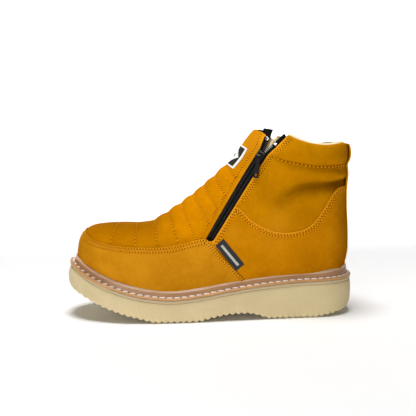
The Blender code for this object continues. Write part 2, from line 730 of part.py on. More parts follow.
def surface_frame(x, z, side):
    """Point of the upper's outer face seen at (x, z) from one side, and its outward normal."""
    best = None
    for i in range(8 * 12, LAST_SECTION * 12):
        for j in range(0, 24):
            p = upper_point(i / 12, side, 0.2 + j / 24 * 1.6)
            far = (p.x - x) ** 2 + (p.z - z) ** 2
            if best is None or far < best[0]:
                best = (far, i / 12, 0.2 + j / 24 * 1.6, p)
    _, number, share, _ = best
    step = 0.04
    for _ in range(12):
        p = upper_point(number, side, share)
        du = (upper_point(number + step, side, share) - p) / step
        dv = (upper_point(number, side, share + step) - p) / step
        det = du.x * dv.z - du.z * dv.x
        ex, ez = x - p.x, z - p.z
        number += (ex * dv.z - ez * dv.x) / det
        share += (du.x * ez - du.z * ex) / det
    p = upper_point(number, side, share)
    du = upper_point(number + step, side, share) - p
    dv = upper_point(number, side, share + step) - p
    normal = du.cross(dv).normalized()
    return p, normal if normal.y * side > 0 else -normal


def slider_matrix(side):
    """Frame of the zip's slider: X across the zip, Y up along it, Z out of the shoe."""
    middle = Vector(ZIP_FORK) - ZIP_ALONG * SLIDER_BELOW_FORK
    point, normal = surface_frame(middle.x, middle.y, side)
    along = Vector((ZIP_ALONG.x, 0, ZIP_ALONG.y))
    along = (along - normal * along.dot(normal)).normalized()
    across = along.cross(normal)
    matrix = Matrix((across, along, normal)).transposed().to_4x4()
    matrix.translation = point
    return matrix


def box(bm, size, at):
    made = bmesh.ops.create_cube(bm, size=1.0)["verts"]
    bmesh.ops.scale(bm, vec=size, verts=made)
    bmesh.ops.translate(bm, vec=at, verts=made)
    return made


def bar(bm, radius, length, at, segments=12):
    made = bmesh.ops.create_cone(
        bm, cap_ends=True, segments=segments, radius1=radius, radius2=radius, depth=length
    )["verts"]
    bmesh.ops.rotate(bm, matrix=Matrix.Rotation(math.pi / 2, 3, "Y"), verts=made)
    bmesh.ops.translate(bm, vec=at, verts=made)
    return made


def placed(bm, matrix):
    bmesh.ops.transform(bm, matrix=matrix, verts=bm.verts)
    return bm


def pull_matrix(side):
    """Frame of the pull's hinge: X along the hinge bar, Y up the pull, Z out of the shoe."""
    seat = slider_matrix(side)
    normal = seat.col[2].xyz
    up = -(PULL_HANGS - normal * PULL_HANGS.dot(normal)).normalized()
    across = up.cross(normal)
    matrix = Matrix((across, up, normal)).transposed().to_4x4()
    height = GAP + SLIDER_THICK + EYE_RADIUS + EYE_CLEARANCE
    matrix.translation = seat @ Vector((0, SLIDER_LENGTH * 0.1, height))
    return matrix


def make_slider(side):
    """The slider's body on the zip, with two posts that carry the pull's hinge bar."""
    name = SIDE_NAME[side]
    bm = bmesh.new()
    body = box(bm, (SLIDER_WIDTH, SLIDER_LENGTH, SLIDER_THICK), (0, 0, GAP + SLIDER_THICK / 2))
    for vert in body:
        if vert.co.y < 0:
            vert.co.x *= SLIDER_TAPER
    bmesh.ops.bevel(
        bm, geom=bm.edges[:], offset=SLIDER_EDGE, segments=1, affect="EDGES", profile=0.5, material=-1
    )
    slider = add_object(f"zip_slider_{name}", placed(bm, slider_matrix(side)), "slider")
    hinge = pull_matrix(side)
    drop, top = EYE_RADIUS + 1.2, BAR_RADIUS + 0.6
    for end in (-1, 1):
        bm = bmesh.new()
        out = end * (BAR_LENGTH / 2 + POST_WIDTH / 2)
        box(bm, (POST_WIDTH, POST_DEPTH, drop + top), (out, 0, (top - drop) / 2))
        boolean(slider, add_object(f"post {end} {name}", placed(bm, hinge)), "UNION")
    bm = bmesh.new()
    bar(bm, BAR_RADIUS, BAR_LENGTH + 2 * POST_WIDTH - 0.6, (0, 0, 0))
    boolean(slider, add_object(f"hinge bar {name}", placed(bm, hinge)), "UNION")


def make_pull(side):
    """The pull: an eye round the hinge bar and a flat tab with a hole near its free end."""
    name = SIDE_NAME[side]
    hinge = pull_matrix(side) @ Matrix.Rotation(PULL_LEAN, 4, "X")
    bm = bmesh.new()
    bar(bm, EYE_RADIUS, EYE_LENGTH, (0, 0, 0))
    pull = add_object(f"zip_pull_{name}", placed(bm, hinge), "slider")
    bm = bmesh.new()
    start = EYE_BORE + 0.5
    tab = box(bm, (PULL_WIDTH, PULL_LENGTH - start, PULL_THICK), (0, -(PULL_LENGTH + start) / 2, 0))
    for vert in tab:
        if vert.co.y > -start - 1:
            vert.co.x *= EYE_LENGTH * 0.9 / PULL_WIDTH
    corners = [e for e in bm.edges if all(v.co.y < -PULL_LENGTH + 1 for v in e.verts)]
    upright = [e for e in corners if abs(e.verts[0].co.z - e.verts[1].co.z) > PULL_THICK / 2]
    bmesh.ops.bevel(bm, geom=upright, offset=PULL_CORNER, segments=3, affect="EDGES", profile=0.5, material=-1)
    boolean(pull, add_object(f"tab {name}", placed(bm, hinge)), "UNION")
    bm = bmesh.new()
    bar(bm, EYE_BORE, EYE_LENGTH + 2, (0, 0, 0))
    boolean(pull, add_object(f"eye bore {name}", placed(bm, hinge)), "DIFFERENCE")
    bm = bmesh.new()
    made = bmesh.ops.create_cone(
        bm, cap_ends=True, segments=12, radius1=PULL_HOLE, radius2=PULL_HOLE, depth=PULL_THICK * 3
    )["verts"]
    bmesh.ops.translate(bm, vec=(0, PULL_HOLE_FROM_END - PULL_LENGTH, 0), verts=made)
    boolean(pull, add_object(f"tab hole {name}", placed(bm, hinge)), "DIFFERENCE")


def turned_box(middle, along, length, width):
    """Corners in the side view of a rectangle along a direction."""
    across = Vector((along.y, -along.x))
    a, b = along * length / 2, across * width / 2
    return [tuple(Vector(middle) + p) for p in (-a - b, a - b, a + b, -a + b)]


def make_labels(patch_forms, label_forms):
    foot, top = Vector(PATCH_FOOT), Vector(PATCH_TOP)
    along = (top - foot).normalized()
    patch = turned_box((foot + top) / 2, along, (top - foot).length, 44.0)
    layer("tongue_patch", "patch", patch, *patch_forms, -PATCH_WIDTH / 2, PATCH_WIDTH / 2)
    way = Vector((math.cos(LABEL_TURN), -math.sin(LABEL_TURN)))
    side = turned_box(LABEL_MIDDLE, way, LABEL_LENGTH, LABEL_WIDTH)
    layer("side_label", "label", side, *label_forms, -ACROSS_ALL, 0.0)


def clear_scene():
    for obj in list(bpy.data.objects):
        bpy.data.objects.remove(obj)


clear_scene()
PARTS = collection("work shoe")
CUTTERS = collection("cutters")

GROWTH = 12.0
overlay_outer = GAP + OVERLAY_THICK
inside = -UPPER_WALL - 2 * GAP
form_skin = closed_form("form over skin", GAP, GROWTH)
form_overlay = closed_form("form over overlays", overlay_outer)
form_backstay = closed_form("form over backstay", GAP + BACKSTAY_THICK)
form_welt = closed_form("form clear of welt", overlay_outer + GAP, GROWTH)
form_tape = closed_form("form under wall", inside, plain=True)
form_tape_back = closed_form("form behind tapes", inside - TAPE_THICK, GROWTH, plain=True)
form_coil = closed_form("form over coil", inside + GAP + COIL_THICK, plain=True)
form_coil_back = closed_form("form behind coil", inside + GAP, GROWTH, plain=True)
form_label = closed_form("form over quarter", overlay_outer + GAP, GROWTH)
form_label_out = closed_form("form over label", overlay_outer + GAP + LABEL_THICK)
form_patch_out = closed_form("form over patch", GAP + LABEL_THICK)

make_outsole()
make_midsole()
make_welt(form_welt)
make_insole()
make_upper()
make_overlays(form_skin, form_overlay, form_backstay)
for zip_side in (LATERAL, MEDIAL):
    make_zip(zip_side, (form_tape_back, form_tape), (form_coil_back, form_coil))
    make_slider(zip_side)
    make_pull(zip_side)
make_labels((form_skin, form_patch_out), (form_label, form_label_out))
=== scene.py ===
"""Dressed work shoe: nubuck panels, stitching, welt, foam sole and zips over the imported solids.

The frame is the solids' own: toe along -X, outer side of the left foot -Y, +Z up. Sizes are in
millimetres and become metres where a mesh is made.
"""

import math

import bmesh
import bpy
import numpy as np
from mathutils import Matrix, Vector


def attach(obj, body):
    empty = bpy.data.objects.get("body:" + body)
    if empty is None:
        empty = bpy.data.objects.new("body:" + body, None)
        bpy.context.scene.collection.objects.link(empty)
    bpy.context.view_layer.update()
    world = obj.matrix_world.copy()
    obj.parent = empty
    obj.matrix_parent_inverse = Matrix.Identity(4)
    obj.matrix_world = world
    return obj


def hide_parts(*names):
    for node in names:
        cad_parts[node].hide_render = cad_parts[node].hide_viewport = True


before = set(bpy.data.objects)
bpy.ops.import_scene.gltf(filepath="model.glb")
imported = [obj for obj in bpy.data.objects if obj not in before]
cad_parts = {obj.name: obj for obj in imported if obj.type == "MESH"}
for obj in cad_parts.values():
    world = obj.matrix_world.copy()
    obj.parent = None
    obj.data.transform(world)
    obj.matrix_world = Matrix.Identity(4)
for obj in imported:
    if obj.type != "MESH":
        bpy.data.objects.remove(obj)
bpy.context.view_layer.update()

MM = 0.001
LATERAL, MEDIAL = -1, 1
SIDES = (LATERAL, MEDIAL)
SIDE_NAME = {LATERAL: "lateral", MEDIAL: "medial"}
WELD, NO_LENGTH, TINY = 0.02, 1e-12, 1e-6

# Sizes of the sole and upper; the sole's top line is up to 1.6 mm off the solids'
HALF_LENGTH = 153.0
MIDSOLE_THICK, WELT_THICK, BEAD_HEIGHT = 2.8, 3.2, 5.2
INSOLE_THICK, UPPER_WALL = 4.0, 2.4
FEATHER_INSET, FEATHER_SHIFT, SOLID_GAP = 9.5, 2.0, 0.3

PLAN = (  # x, lateral, medial
    (-153.0, 42.0, 52.0),
    (-120.0, 46.5, 53.0),
    (-85.0, 52.0, 54.0),
    (-55.0, 54.0, 53.0),
    (-25.0, 53.0, 50.0),
    (10.0, 49.5, 46.0),
    (50.0, 45.5, 43.0),
    (95.0, 42.0, 41.0),
    (153.0, 40.5, 40.5),
)
TOE_ROUND_FROM, HEEL_ROUND_FROM, ROUND_POWER = -88.0, 106.0, 2.2
TREAD = (  # x, z
    (-153.0, 37.5),
    (-151.0, 34.0),
    (-146.0, 30.0),
    (-132.0, 22.5),
    (-114.0, 15.0),
    (-95.0, 8.6),
    (-77.0, 3.9),
    (-58.0, 0.0),
    (-20.0, 0.0),
    (0.0, 3.6),
    (18.0, 6.3),
    (34.0, 6.6),
    (47.0, 4.0),
    (60.0, 0.0),
    (106.0, 0.0),
    (122.0, 1.8),
    (136.0, 4.2),
    (147.0, 8.5),
    (151.5, 13.0),
    (153.0, 17.0),
)
SOLE_TOP = (  # x, z
    (-153.0, 54.4),
    (-128.0, 40.6),
    (-97.0, 29.0),
    (-70.0, 22.8),
    (-42.0, 20.4),
    (-15.0, 22.9),
    (20.0, 28.4),
    (60.0, 33.0),
    (105.0, 35.6),
    (153.0, 36.2),
)
RIPPLE_PITCH, RIPPLE_DEPTH, RIPPLE_FROM, RIPPLE_TO, RIPPLE_ROUND = 6.4, 2.1, -144.0, 137.0, 2.2

SECTIONS = (
    # crown_x, crown_z, foot x or back z, lateral, medial, widest, top_power, foot_power
    (-141.5, 68.0, -141.5, 0.0, 0.0, 0.30, 2.6, 2.0),
    (-140.4, 78.0, -140.3, 12.5, 15.0, 0.30, 2.6, 2.0),
    (-137.0, 86.5, -136.8, 23.0, 28.5, 0.30, 2.6, 2.0),
    (-131.0, 92.4, -131.0, 31.5, 38.0, 0.30, 2.7, 2.0),
    (-122.0, 95.6, -122.0, 38.0, 43.5, 0.30, 2.7, 2.0),
    (-108.0, 97.2, -108.0, 43.5, 46.5, 0.28, 2.7, 2.0),
    (-88.0, 97.0, -88.0, 46.8, 48.0, 0.28, 2.6, 2.0),
    (-68.0, 96.6, -67.0, 48.2, 47.6, 0.28, 2.5, 2.0),
    (-55.0, 101.2, -44.0, 48.0, 46.0, 0.28, 2.4, 2.0),
    (-44.5, 109.0, -15.0, 46.5, 43.5, 0.28, 2.3, 2.0),
    (-31.5, 117.6, 14.0, 44.0, 41.0, 0.28, 2.25, 2.0),
    (-18.3, 127.6, 44.0, 42.0, 39.4, 0.30, 2.2, 2.1),
    (-7.8, 137.0, 68.0, 40.6, 38.6, 0.32, 2.2, 2.2),
    (5.1, 147.6, 97.0, 39.4, 38.0, 0.34, 2.2, 2.3),
    (16.0, 157.6, 128.0, 38.6, 37.6, 0.36, 2.2, 2.4),
    (23.5, 166.6, 141.0, 38.0, 37.3, 0.38, 2.2, 2.4),
    (28.5, 173.4, 145.5, 37.6, 37.0, 0.39, 2.2, 2.4),
    (33.0, 180.2, 80.0, 37.2, 36.8, 0.40, 2.2, 2.4),
    (37.5, 186.6, 108.0, 37.0, 36.6, 0.42, 2.2, 2.4),
    (41.4, 191.4, 134.0, 37.0, 36.6, 0.44, 2.2, 2.3),
    (44.4, 194.4, 158.0, 37.4, 37.0, 0.45, 2.2, 2.3),
    (47.0, 197.0, 181.5, 38.0, 37.6, 0.46, 2.2, 2.3),
)
HEEL_SECTION, LAST_SECTION = 16, len(SECTIONS) - 1
BACK = (  # z, x of the back of the heel
    (48.0, 145.4),
    (70.0, 147.2),
    (90.0, 146.8),
    (115.0, 145.4),
    (130.0, 145.2),
    (148.0, 146.6),
    (159.0, 146.4),
    (171.0, 147.4),
    (182.0, 147.0),
)
COLLAR_DIP, DIP_FROM_SECTION, DIP_END, DIP_POWER = 8.0, 17.5, 0.76, 1.2

# Seams in the side view
MOC_SEAM = (  # x, z
    (-150.0, 96.0),
    (-134.0, 91.6),
    (-130.0, 87.6),
    (-122.5, 84.0),
    (-107.0, 80.2),
    (-86.0, 78.0),
    (-66.0, 77.2),
    (-50.0, 77.8),
    (-35.0, 80.2),
    (-20.0, 83.8),
    (-8.6, 86.2),
)
VAMP_CORNER, VAMP_REAR_LOW = (-8.6, 86.2), (34.5, 40.5)
QUARTER_SEAM = (  # x, z
    (24.0, 118.6),
    (29.0, 114.1),
    (37.8, 105.1),
    (50.8, 96.9),
    (63.9, 91.9),
    (76.2, 90.6),
    (90.3, 92.5),
    (102.7, 98.8),
    (110.6, 107.9),
    (117.7, 119.0),
    (125.3, 130.4),
    (132.1, 136.6),
    (139.5, 138.0),
)
QUARTER_BACK_Z = 138.6
ZIP_FOOT, ZIP_FORK, ZIP_TOP = np.array((-3.6, 86.0)), np.array((53.2, 174.4)), np.array((65.6, 193.4))
ZIP_STRAIGHT = float(np.linalg.norm(ZIP_FORK - ZIP_FOOT))
ZIP_LENGTH = ZIP_STRAIGHT + float(np.linalg.norm(ZIP_TOP - ZIP_FORK))
ZIP_ALONG = (ZIP_FORK - ZIP_FOOT) / ZIP_STRAIGHT
ZIP_ACROSS = np.array((ZIP_ALONG[1], -ZIP_ALONG[0]))
HALF_SLOT, HALF_SLOT_AT_FORK, HALF_SLOT_AT_TOP, HALF_SLOT_PAST = 3.9, 4.9, 10.0, 13.1
PAST_TOP = 14.0


def smooth_curve(points):
    """A smooth curve through (position, value) points that never overshoots them."""
    at, values = (np.array(column, float) for column in zip(*points))
    steps = np.diff(at)
    rises = np.diff(values) / steps
    both = rises[:-1] * rises[1:]
    total = np.where(both > 0, rises[:-1] + rises[1:], 1.0)
    slopes = np.concatenate((rises[:1], np.where(both > 0, 2 * both / total, 0.0), rises[-1:]))

    def value(position):
        position = np.asarray(position, float)
        i = np.clip(np.searchsorted(at, position, side="right") - 1, 0, len(steps) - 1)
        t = np.clip((position - at[i]) / steps[i], 0.0, 1.0)
        lift = t * t * (3 - 2 * t) * (values[i + 1] - values[i])
        start = t * (1 - t) ** 2 * steps[i] * slopes[i]
        end = t * t * (1 - t) * steps[i] * slopes[i + 1]
        return values[i] + lift + start - end

    return value


def section_column(column):
    """A column of SECTIONS as a smooth function of the section number (uniform cubic B-spline)."""
    rows = np.array([row[column] for row in SECTIONS])
    rows = np.concatenate(([2 * rows[0] - rows[1]], rows, [2 * rows[-1] - rows[-2]]))

    def value(number):
        number = np.asarray(number, float)
        i = np.clip(np.floor(number).astype(int), 0, LAST_SECTION - 1)
        t = number - i
        first = rows[i] * (1 - t) ** 3 + rows[i + 1] * (3 * t**3 - 6 * t**2 + 4)
        return (first + rows[i + 2] * (-3 * t**3 + 3 * t**2 + 3 * t + 1) + rows[i + 3] * t**3) / 6

    return value


plan_half_width = {
    LATERAL: smooth_curve([(x, lateral) for x, lateral, _ in PLAN]),
    MEDIAL: smooth_curve([(x, medial) for x, _, medial in PLAN]),
}
tread_z, sole_top_z, back_x = smooth_curve(TREAD), smooth_curve(SOLE_TOP), smooth_curve(BACK)
crown_x, crown_z = section_column(0), section_column(1)
widest_half = {LATERAL: section_column(3), MEDIAL: section_column(4)}
widest_share, top_power, foot_power = section_column(5), section_column(6), section_column(7)
foot_x = smooth_curve([(i, row[2]) for i, row in enumerate(SECTIONS[: HEEL_SECTION + 1])])
moc_seam_z, quarter_seam_z = smooth_curve(MOC_SEAM), smooth_curve(QUARTER_SEAM)


def feather_z(x):
    """Height of the welt's underside and of the upper's lower edge inside it."""
    return sole_top_z(x) + MIDSOLE_THICK + SOLID_GAP


def welt_top_z(x):
    return feather_z(x) + WELT_THICK


heel_foot = float(feather_z(SECTIONS[HEEL_SECTION][2]))
back_rows = [(i, SECTIONS[i][2]) for i in range(HEEL_SECTION + 1, LAST_SECTION + 1)]
back_z = smooth_curve([(HEEL_SECTION, heel_foot), *back_rows])


def rounding(x):
    """Share of the plan's half-width that is left where toe and heel are rounded off."""
    toe = np.maximum(0.0, (TOE_ROUND_FROM - x) / (TOE_ROUND_FROM + HALF_LENGTH))
    heel = np.maximum(0.0, (x - HEEL_ROUND_FROM) / (HALF_LENGTH - HEEL_ROUND_FROM))
    left = np.maximum(0.0, 1 - toe**ROUND_POWER) * np.maximum(0.0, 1 - heel**ROUND_POWER)
    return left ** (1 / ROUND_POWER)


def plan_point(x, side, inset):
    """Point of the plan's outline at station x, moved in by inset."""
    half = (plan_half_width[side](x) - inset) * rounding(x)
    return x * (1 - inset / HALF_LENGTH), side * half


def feather_half_width(x, side):
    station = (x - FEATHER_SHIFT) / (1 - FEATHER_INSET / HALF_LENGTH)
    return np.abs(plan_point(np.clip(station, -HALF_LENGTH, HALF_LENGTH), side, FEATHER_INSET)[1])


FOOT_SHARE_MAX, FINE_STEP, HEEL_BLEND, AT_MIDDLE = 0.985, 2e-3, 0.14, 1e-9


def upper(number, side, share):
    """Points of the upper's outer face: share runs 0 to 1 up the lower arc and 1 to 2 over the crown."""
    number, share = np.broadcast_arrays(np.asarray(number, float), np.asarray(share, float))
    low = number <= HEEL_SECTION
    fx = np.where(low, foot_x(number), back_x(back_z(number)))
    fz = np.where(low, feather_z(foot_x(number)), back_z(number))
    half = np.maximum(widest_half[side](number), TINY)
    foot = np.where(number < HEEL_SECTION, feather_half_width(fx, side), 0.0)
    kept = np.minimum(foot / half, FOOT_SHARE_MAX)
    middle = widest_share(number)
    over = np.clip(share - 1, 0.0, 1.0) * math.pi / 2
    power = 2 / top_power(number)
    n = foot_power(number)
    reach = (1 - kept**n) ** (1 / n)
    under = (1 - np.clip(share, 0.0, 1.0)) * np.arcsin(reach ** (n / 2))
    top = share >= 1
    width = half * np.where(top, np.maximum(np.cos(over), 0.0) ** power, np.cos(under) ** (2 / n))
    along_top = middle + (1 - middle) * np.sin(over) ** power
    along = np.where(top, along_top, middle * (1 - np.sin(under) ** (2 / n) / reach))
    weight = np.maximum(0.0, (number - DIP_FROM_SECTION) / (LAST_SECTION - DIP_FROM_SECTION))
    arch = np.sin(math.pi * np.clip(along / DIP_END, 0.0, 1.0))
    dip = COLLAR_DIP * weight * np.maximum(arch, 0.0) ** DIP_POWER
    x = fx + (crown_x(number) - fx) * along
    z = fz + (crown_z(number) - fz) * along - dip
    return np.stack((x, side * width, z), -1)


def upper_frame(number, side, share):
    """Points of the upper's outer face with their outward normals."""
    step = np.where(np.abs(number - HEEL_SECTION) < HEEL_BLEND, HEEL_BLEND, FINE_STEP)
    ahead, behind = np.minimum(number + step, LAST_SECTION), np.maximum(number - step, 0.0)
    above, below = np.minimum(share + FINE_STEP, 2.0), np.maximum(share - FINE_STEP, 0.0)
    along = upper(ahead, side, share) - upper(behind, side, share)
    around = upper(number, side, above) - upper(number, side, below)
    normal = -side * np.cross(along, around)
    middle = (share >= 2 - AT_MIDDLE) | (number <= AT_MIDDLE)
    middle = middle | ((share <= AT_MIDDLE) & (number >= HEEL_SECTION))
    normal[..., 1] = np.where(middle, 0.0, normal[..., 1])
    normal /= np.maximum(np.linalg.norm(normal, axis=-1, keepdims=True), NO_LENGTH)
    return upper(number, side, share), normal


SEARCH_GRID = np.linspace(2.0, 20.98, 190), np.linspace(0.02, 1.9, 60)
SEARCH_STEP, SEARCH_ROUNDS, SECTION_LEAP, SHARE_LEAP, LEAST_AREA = 1e-3, 25, 0.5, 0.1, 1.0


def cross_2d(a, b):
    return a[:, 0] * b[:, 1] - a[:, 1] * b[:, 0]


def located(xz, side):
    """Section numbers and shares of arc of the points that one side shows at (x, z)."""

    def seen(number, share):
        return upper(number, side, share)[..., (0, 2)]

    xz = np.asarray(xz, float).reshape(-1, 2)
    numbers, shares = np.meshgrid(*SEARCH_GRID, indexing="ij")
    known = seen(numbers, shares).reshape(-1, 2)
    nearest = ((xz[:, None, :] - known[None]) ** 2).sum(-1).argmin(1)
    number, share = numbers.ravel()[nearest], shares.ravel()[nearest]
    for _ in range(SEARCH_ROUNDS):
        here = seen(number, share)
        along = (seen(number + SEARCH_STEP, share) - here) / SEARCH_STEP
        around = (seen(number, share + SEARCH_STEP) - here) / SEARCH_STEP
        miss, area = xz - here, cross_2d(along, around)
        area = np.where(np.abs(area) < LEAST_AREA, np.where(area < 0, -LEAST_AREA, LEAST_AREA), area)
        leap = np.clip(cross_2d(miss, around) / area, -SECTION_LEAP, SECTION_LEAP)
        number = np.clip(number + leap, 0.0, LAST_SECTION - SEARCH_STEP)
        leap = np.clip(cross_2d(along, miss) / area, -SHARE_LEAP, SHARE_LEAP)
        share = np.clip(share + leap, 0.0, 2.0 - SEARCH_STEP)
    return number, share


def on_upper(xz, side, lift):
    """Points and normals on one side of the upper, seen at (x, z), moved out by a lift."""
    shape = xz.shape[:-1]
    number, share = located(xz, side)
    base, normal = upper_frame(number, side, share)
    points = base + normal * lift
    return points.reshape(*shape, 3), normal.reshape(*shape, 3)


def eased(count, start=0.0, end=1.0):
    """Values from start to end, closer together at both."""
    return start + (end - start) * (1 - np.cos(np.linspace(0, math.pi, count))) / 2


def blend_in(value, low, high):
    """0 below low and 1 above high, with a soft change between."""
    t = np.clip((value - low) / (high - low), 0.0, 1.0)
    return t * t * (3 - 2 * t)


def run_along(points):
    """Length of a line of points up to each of them."""
    return np.concatenate(([0.0], np.cumsum(np.linalg.norm(np.diff(points, axis=0), axis=1))))


def read_along(at, run, values):
    """Rows of values that are known at a run of places, read at other places."""
    return np.stack([np.interp(at, run, column) for column in values.T], -1)


def bell(value, wide):
    """1 at zero, falling away softly on both sides."""
    return np.exp(-((value / wide) ** 2))


def lopsided(value, above, below):
    """A bell that falls away at one rate above zero and at another below."""
    return np.exp(-(np.where(value > 0, value * above, value * below) ** 2))


INWARD_STEP, LEAST_SIZE, EDGE_DROP = 3, 1e-9, 0.8


class Patch:
    """A grid of points on one side of the upper.

    Each point has how far its leather stands off and up, how much painted shade it has and how much paler it
    is, from pale spots, edge bands and painted light.
    """

    def __init__(self, side, number, share):
        self.side, self.number, self.share = side, number, share
        self.base, self.normal = upper_frame(number, side, share)
        self.x, self.y, self.z = np.moveaxis(self.base, -1, 0)
        self.lift, self.rise, self.shade, self.wear_and_light = np.zeros((4, *number.shape))

    @property
    def outer(self):
        outer = self.base + self.normal * self.lift[..., None]
        outer[..., 2] += self.rise
        return outer

    def from_edge(self, axis, end):
        """Distance of each point from an edge of the grid.

        It is the run along the grid's own lines, put square to the edge.
        """
        points = np.moveaxis(self.base, axis, 1)
        points = points[:, ::-1] if end else points
        steps = np.linalg.norm(np.diff(points, axis=1), axis=-1)
        run = np.concatenate((np.zeros_like(steps[:, :1]), np.cumsum(steps, 1)), 1)
        along, inward = np.gradient(points[:, 0], axis=0), points[:, INWARD_STEP] - points[:, 0]
        size = np.linalg.norm(along, axis=-1) * np.linalg.norm(inward, axis=-1)
        square = np.linalg.norm(np.cross(along, inward), axis=-1) / np.maximum(size, LEAST_SIZE)
        run = run * square[:, None]
        return np.moveaxis(run[:, ::-1] if end else run, 1, axis)

    def round_edge(self, axis, end, radius):
        self.lift -= radius * EDGE_DROP * quarter_round(self.from_edge(axis, end), radius)

    def line(self, axis, end, distance):
        """Points and normals along an edge of the grid, set in by a distance."""
        both = np.concatenate((self.outer, self.normal), -1)
        grids = [np.moveaxis(grid, axis, 1) for grid in (self.from_edge(axis, end), both)]
        runs, both = (grid[:, ::-1] if end else grid for grid in grids)
        found = [read_along(distance, run, row) for run, row in zip(runs, both) if run[-1] > distance]
        return np.split(np.array(found), 2, axis=1)


def quarter_round(distance, radius):
    """How far a rounded edge falls away, as a share of its radius."""
    return 1 - np.sqrt(1 - np.clip(1 - distance / radius, 0.0, 1.0) ** 2)


def coons(low, high, left, right):
    """Grid of (section, share) pairs between four curves: low and high run alike, left and right up."""
    a = np.linspace(0, 1, len(low))[:, None, None]
    rows = run_along(left)
    b = (rows / rows[-1])[None, :, None]
    ruled = (1 - b) * low[:, None] + b * high[:, None] + (1 - a) * left[None] + a * right[None]
    corners = (1 - a) * ((1 - b) * low[0] + b * high[0]) + a * ((1 - b) * low[-1] + b * high[-1])
    grid = ruled - corners
    return np.maximum(grid[..., 0], 0.0), np.clip(grid[..., 1], 0.0, 2.0)


def resampled(points, count, ends_closer=False):
    """A line of points read again at even steps of its length, or closer together at its ends."""
    points = np.asarray(points, float)
    run = run_along(points)
    wanted = eased(count, 0.0, run[-1]) if ends_closer else np.linspace(0, run[-1], count)
    return read_along(wanted, run, points)


# Zip slot
def zip_half_slot(run):
    """Half the width of the zip's slot at a run up along it."""
    at = (0.0, ZIP_STRAIGHT, ZIP_LENGTH, ZIP_LENGTH + PAST_TOP)
    return np.interp(run, at, (HALF_SLOT, HALF_SLOT_AT_FORK, HALF_SLOT_AT_TOP, HALF_SLOT_PAST))


def zip_place(points):
    """Run up along the zip and distance across it, rearward, of points of the upper."""
    off = points[..., (0, 2)] - ZIP_FOOT
    return off @ ZIP_ALONG, off @ ZIP_ACROSS


def zip_point(run, across):
    """Side-view points at a run along the zip and a distance across it."""
    run, across = np.broadcast_arrays(np.asarray(run, float), np.asarray(across, float))
    past = np.maximum(run - ZIP_STRAIGHT, 0.0)[..., None]
    top_way = (ZIP_TOP - ZIP_FORK) / (ZIP_LENGTH - ZIP_STRAIGHT)
    straight = np.minimum(run, ZIP_STRAIGHT)[..., None] * ZIP_ALONG
    return ZIP_FOOT + straight + past * top_way + across[..., None] * ZIP_ACROSS


SLOT_BLEND, ARC_STEPS, HALVINGS = 7.0, 1200, 50


def ahead_of_zip(points):
    """Over 0 in front of the zip's slot."""
    run, across = zip_place(points)
    return -across - zip_half_slot(run)


def behind_zip(points):
    """Over 0 behind the zip's slot; below the slot's foot its line moves up to the front panel."""
    run, across = zip_place(points)
    return across - zip_half_slot(run) * (2 * blend_in(run, -SLOT_BLEND, 0.0) - 1)


def share_where(test, numbers, side, from_top):
    """Share of arc, for each section number, where a test of the points first turns negative."""
    shares = np.linspace(2.0, 0.0, ARC_STEPS) if from_top else np.linspace(0.0, 2.0, ARC_STEPS)
    found = []
    for number in numbers:
        values = test(upper(np.full(ARC_STEPS, number), side, shares))
        below = np.nonzero(values < 0)[0]
        if len(below) == 0:
            found.append(shares[-1])
        elif below[0] == 0:
            found.append(shares[0])
        else:
            i = below[0]
            part = values[i - 1] / (values[i - 1] - values[i])
            found.append(shares[i - 1] + part * (shares[i] - shares[i - 1]))
    return np.array(found)


def section_where(test, low=0.0, high=float(LAST_SECTION)):
    """Section number where a rising test changes sign."""
    for _ in range(HALVINGS):
        middle = (low + high) / 2
        if test(middle) < 0:
            low = middle
        else:
            high = middle
    return low


# Meshes
def new_object(name, bm, materials, smooth_angle=40.0):
    """Links a bmesh, drawn in millimetres, as an object."""
    bmesh.ops.scale(bm, vec=(MM, MM, MM), verts=bm.verts)
    mesh = bpy.data.meshes.new(name)
    bm.to_mesh(mesh)
    bm.free()
    for material in materials:
        mesh.materials.append(material)
    mesh.shade_smooth()
    mesh.set_sharp_from_angle(angle=math.radians(smooth_angle))
    obj = bpy.data.objects.new(name, mesh)
    bpy.context.scene.collection.objects.link(obj)
    return obj


def add_grid(bm, points, layers=None, outward=None):
    """Adds a grid of quads and moves its corners to the points; turns it where it faces the wrong way."""
    rows, columns = points.shape[:2]
    made = bmesh.ops.create_grid(bm, x_segments=columns - 1, y_segments=rows - 1, size=1.0)["verts"]
    for vert, point in zip(made, points.reshape(-1, 3)):
        vert.co = point
    for layer, values in (layers or {}).items():
        for vert, value in zip(made, values.ravel()):
            vert[layer] = value
    if outward is not None:
        r, c = rows // 2, columns // 2
        across, up = points[r, c + 1] - points[r, c - 1], points[r + 1, c] - points[r - 1, c]
        if np.dot(np.cross(across, up), outward[r, c]) < 0:
            faces = list({face for vert in made for face in vert.link_faces})
            bmesh.ops.reverse_faces(bm, faces=faces)
    return made


def thicken(obj, thickness, inner_slot=0, rim_slot=0):
    """Gives a sheet a thickness, inward from the face that shows."""
    wall = obj.modifiers.new("thickness", "SOLIDIFY")
    wall.thickness = thickness * MM
    wall.offset = -1.0
    wall.material_offset = inner_slot
    wall.material_offset_rim = rim_slot


def leather_object(name, patches, materials, thickness, inner_slot=0, rim_slot=0):
    """Patches of the upper welded into one sheet of leather with a thickness."""
    bm = bmesh.new()
    shade, wear_and_light = bm.verts.layers.float.new("shade"), bm.verts.layers.float.new("wear_and_light")
    for patch in patches:
        add_grid(bm, patch.outer, {shade: patch.shade, wear_and_light: patch.wear_and_light}, patch.normal)
    bmesh.ops.remove_doubles(bm, verts=bm.verts, dist=WELD)
    obj = new_object(name, bm, materials)
    thicken(obj, thickness, inner_slot, rim_slot)
    return obj


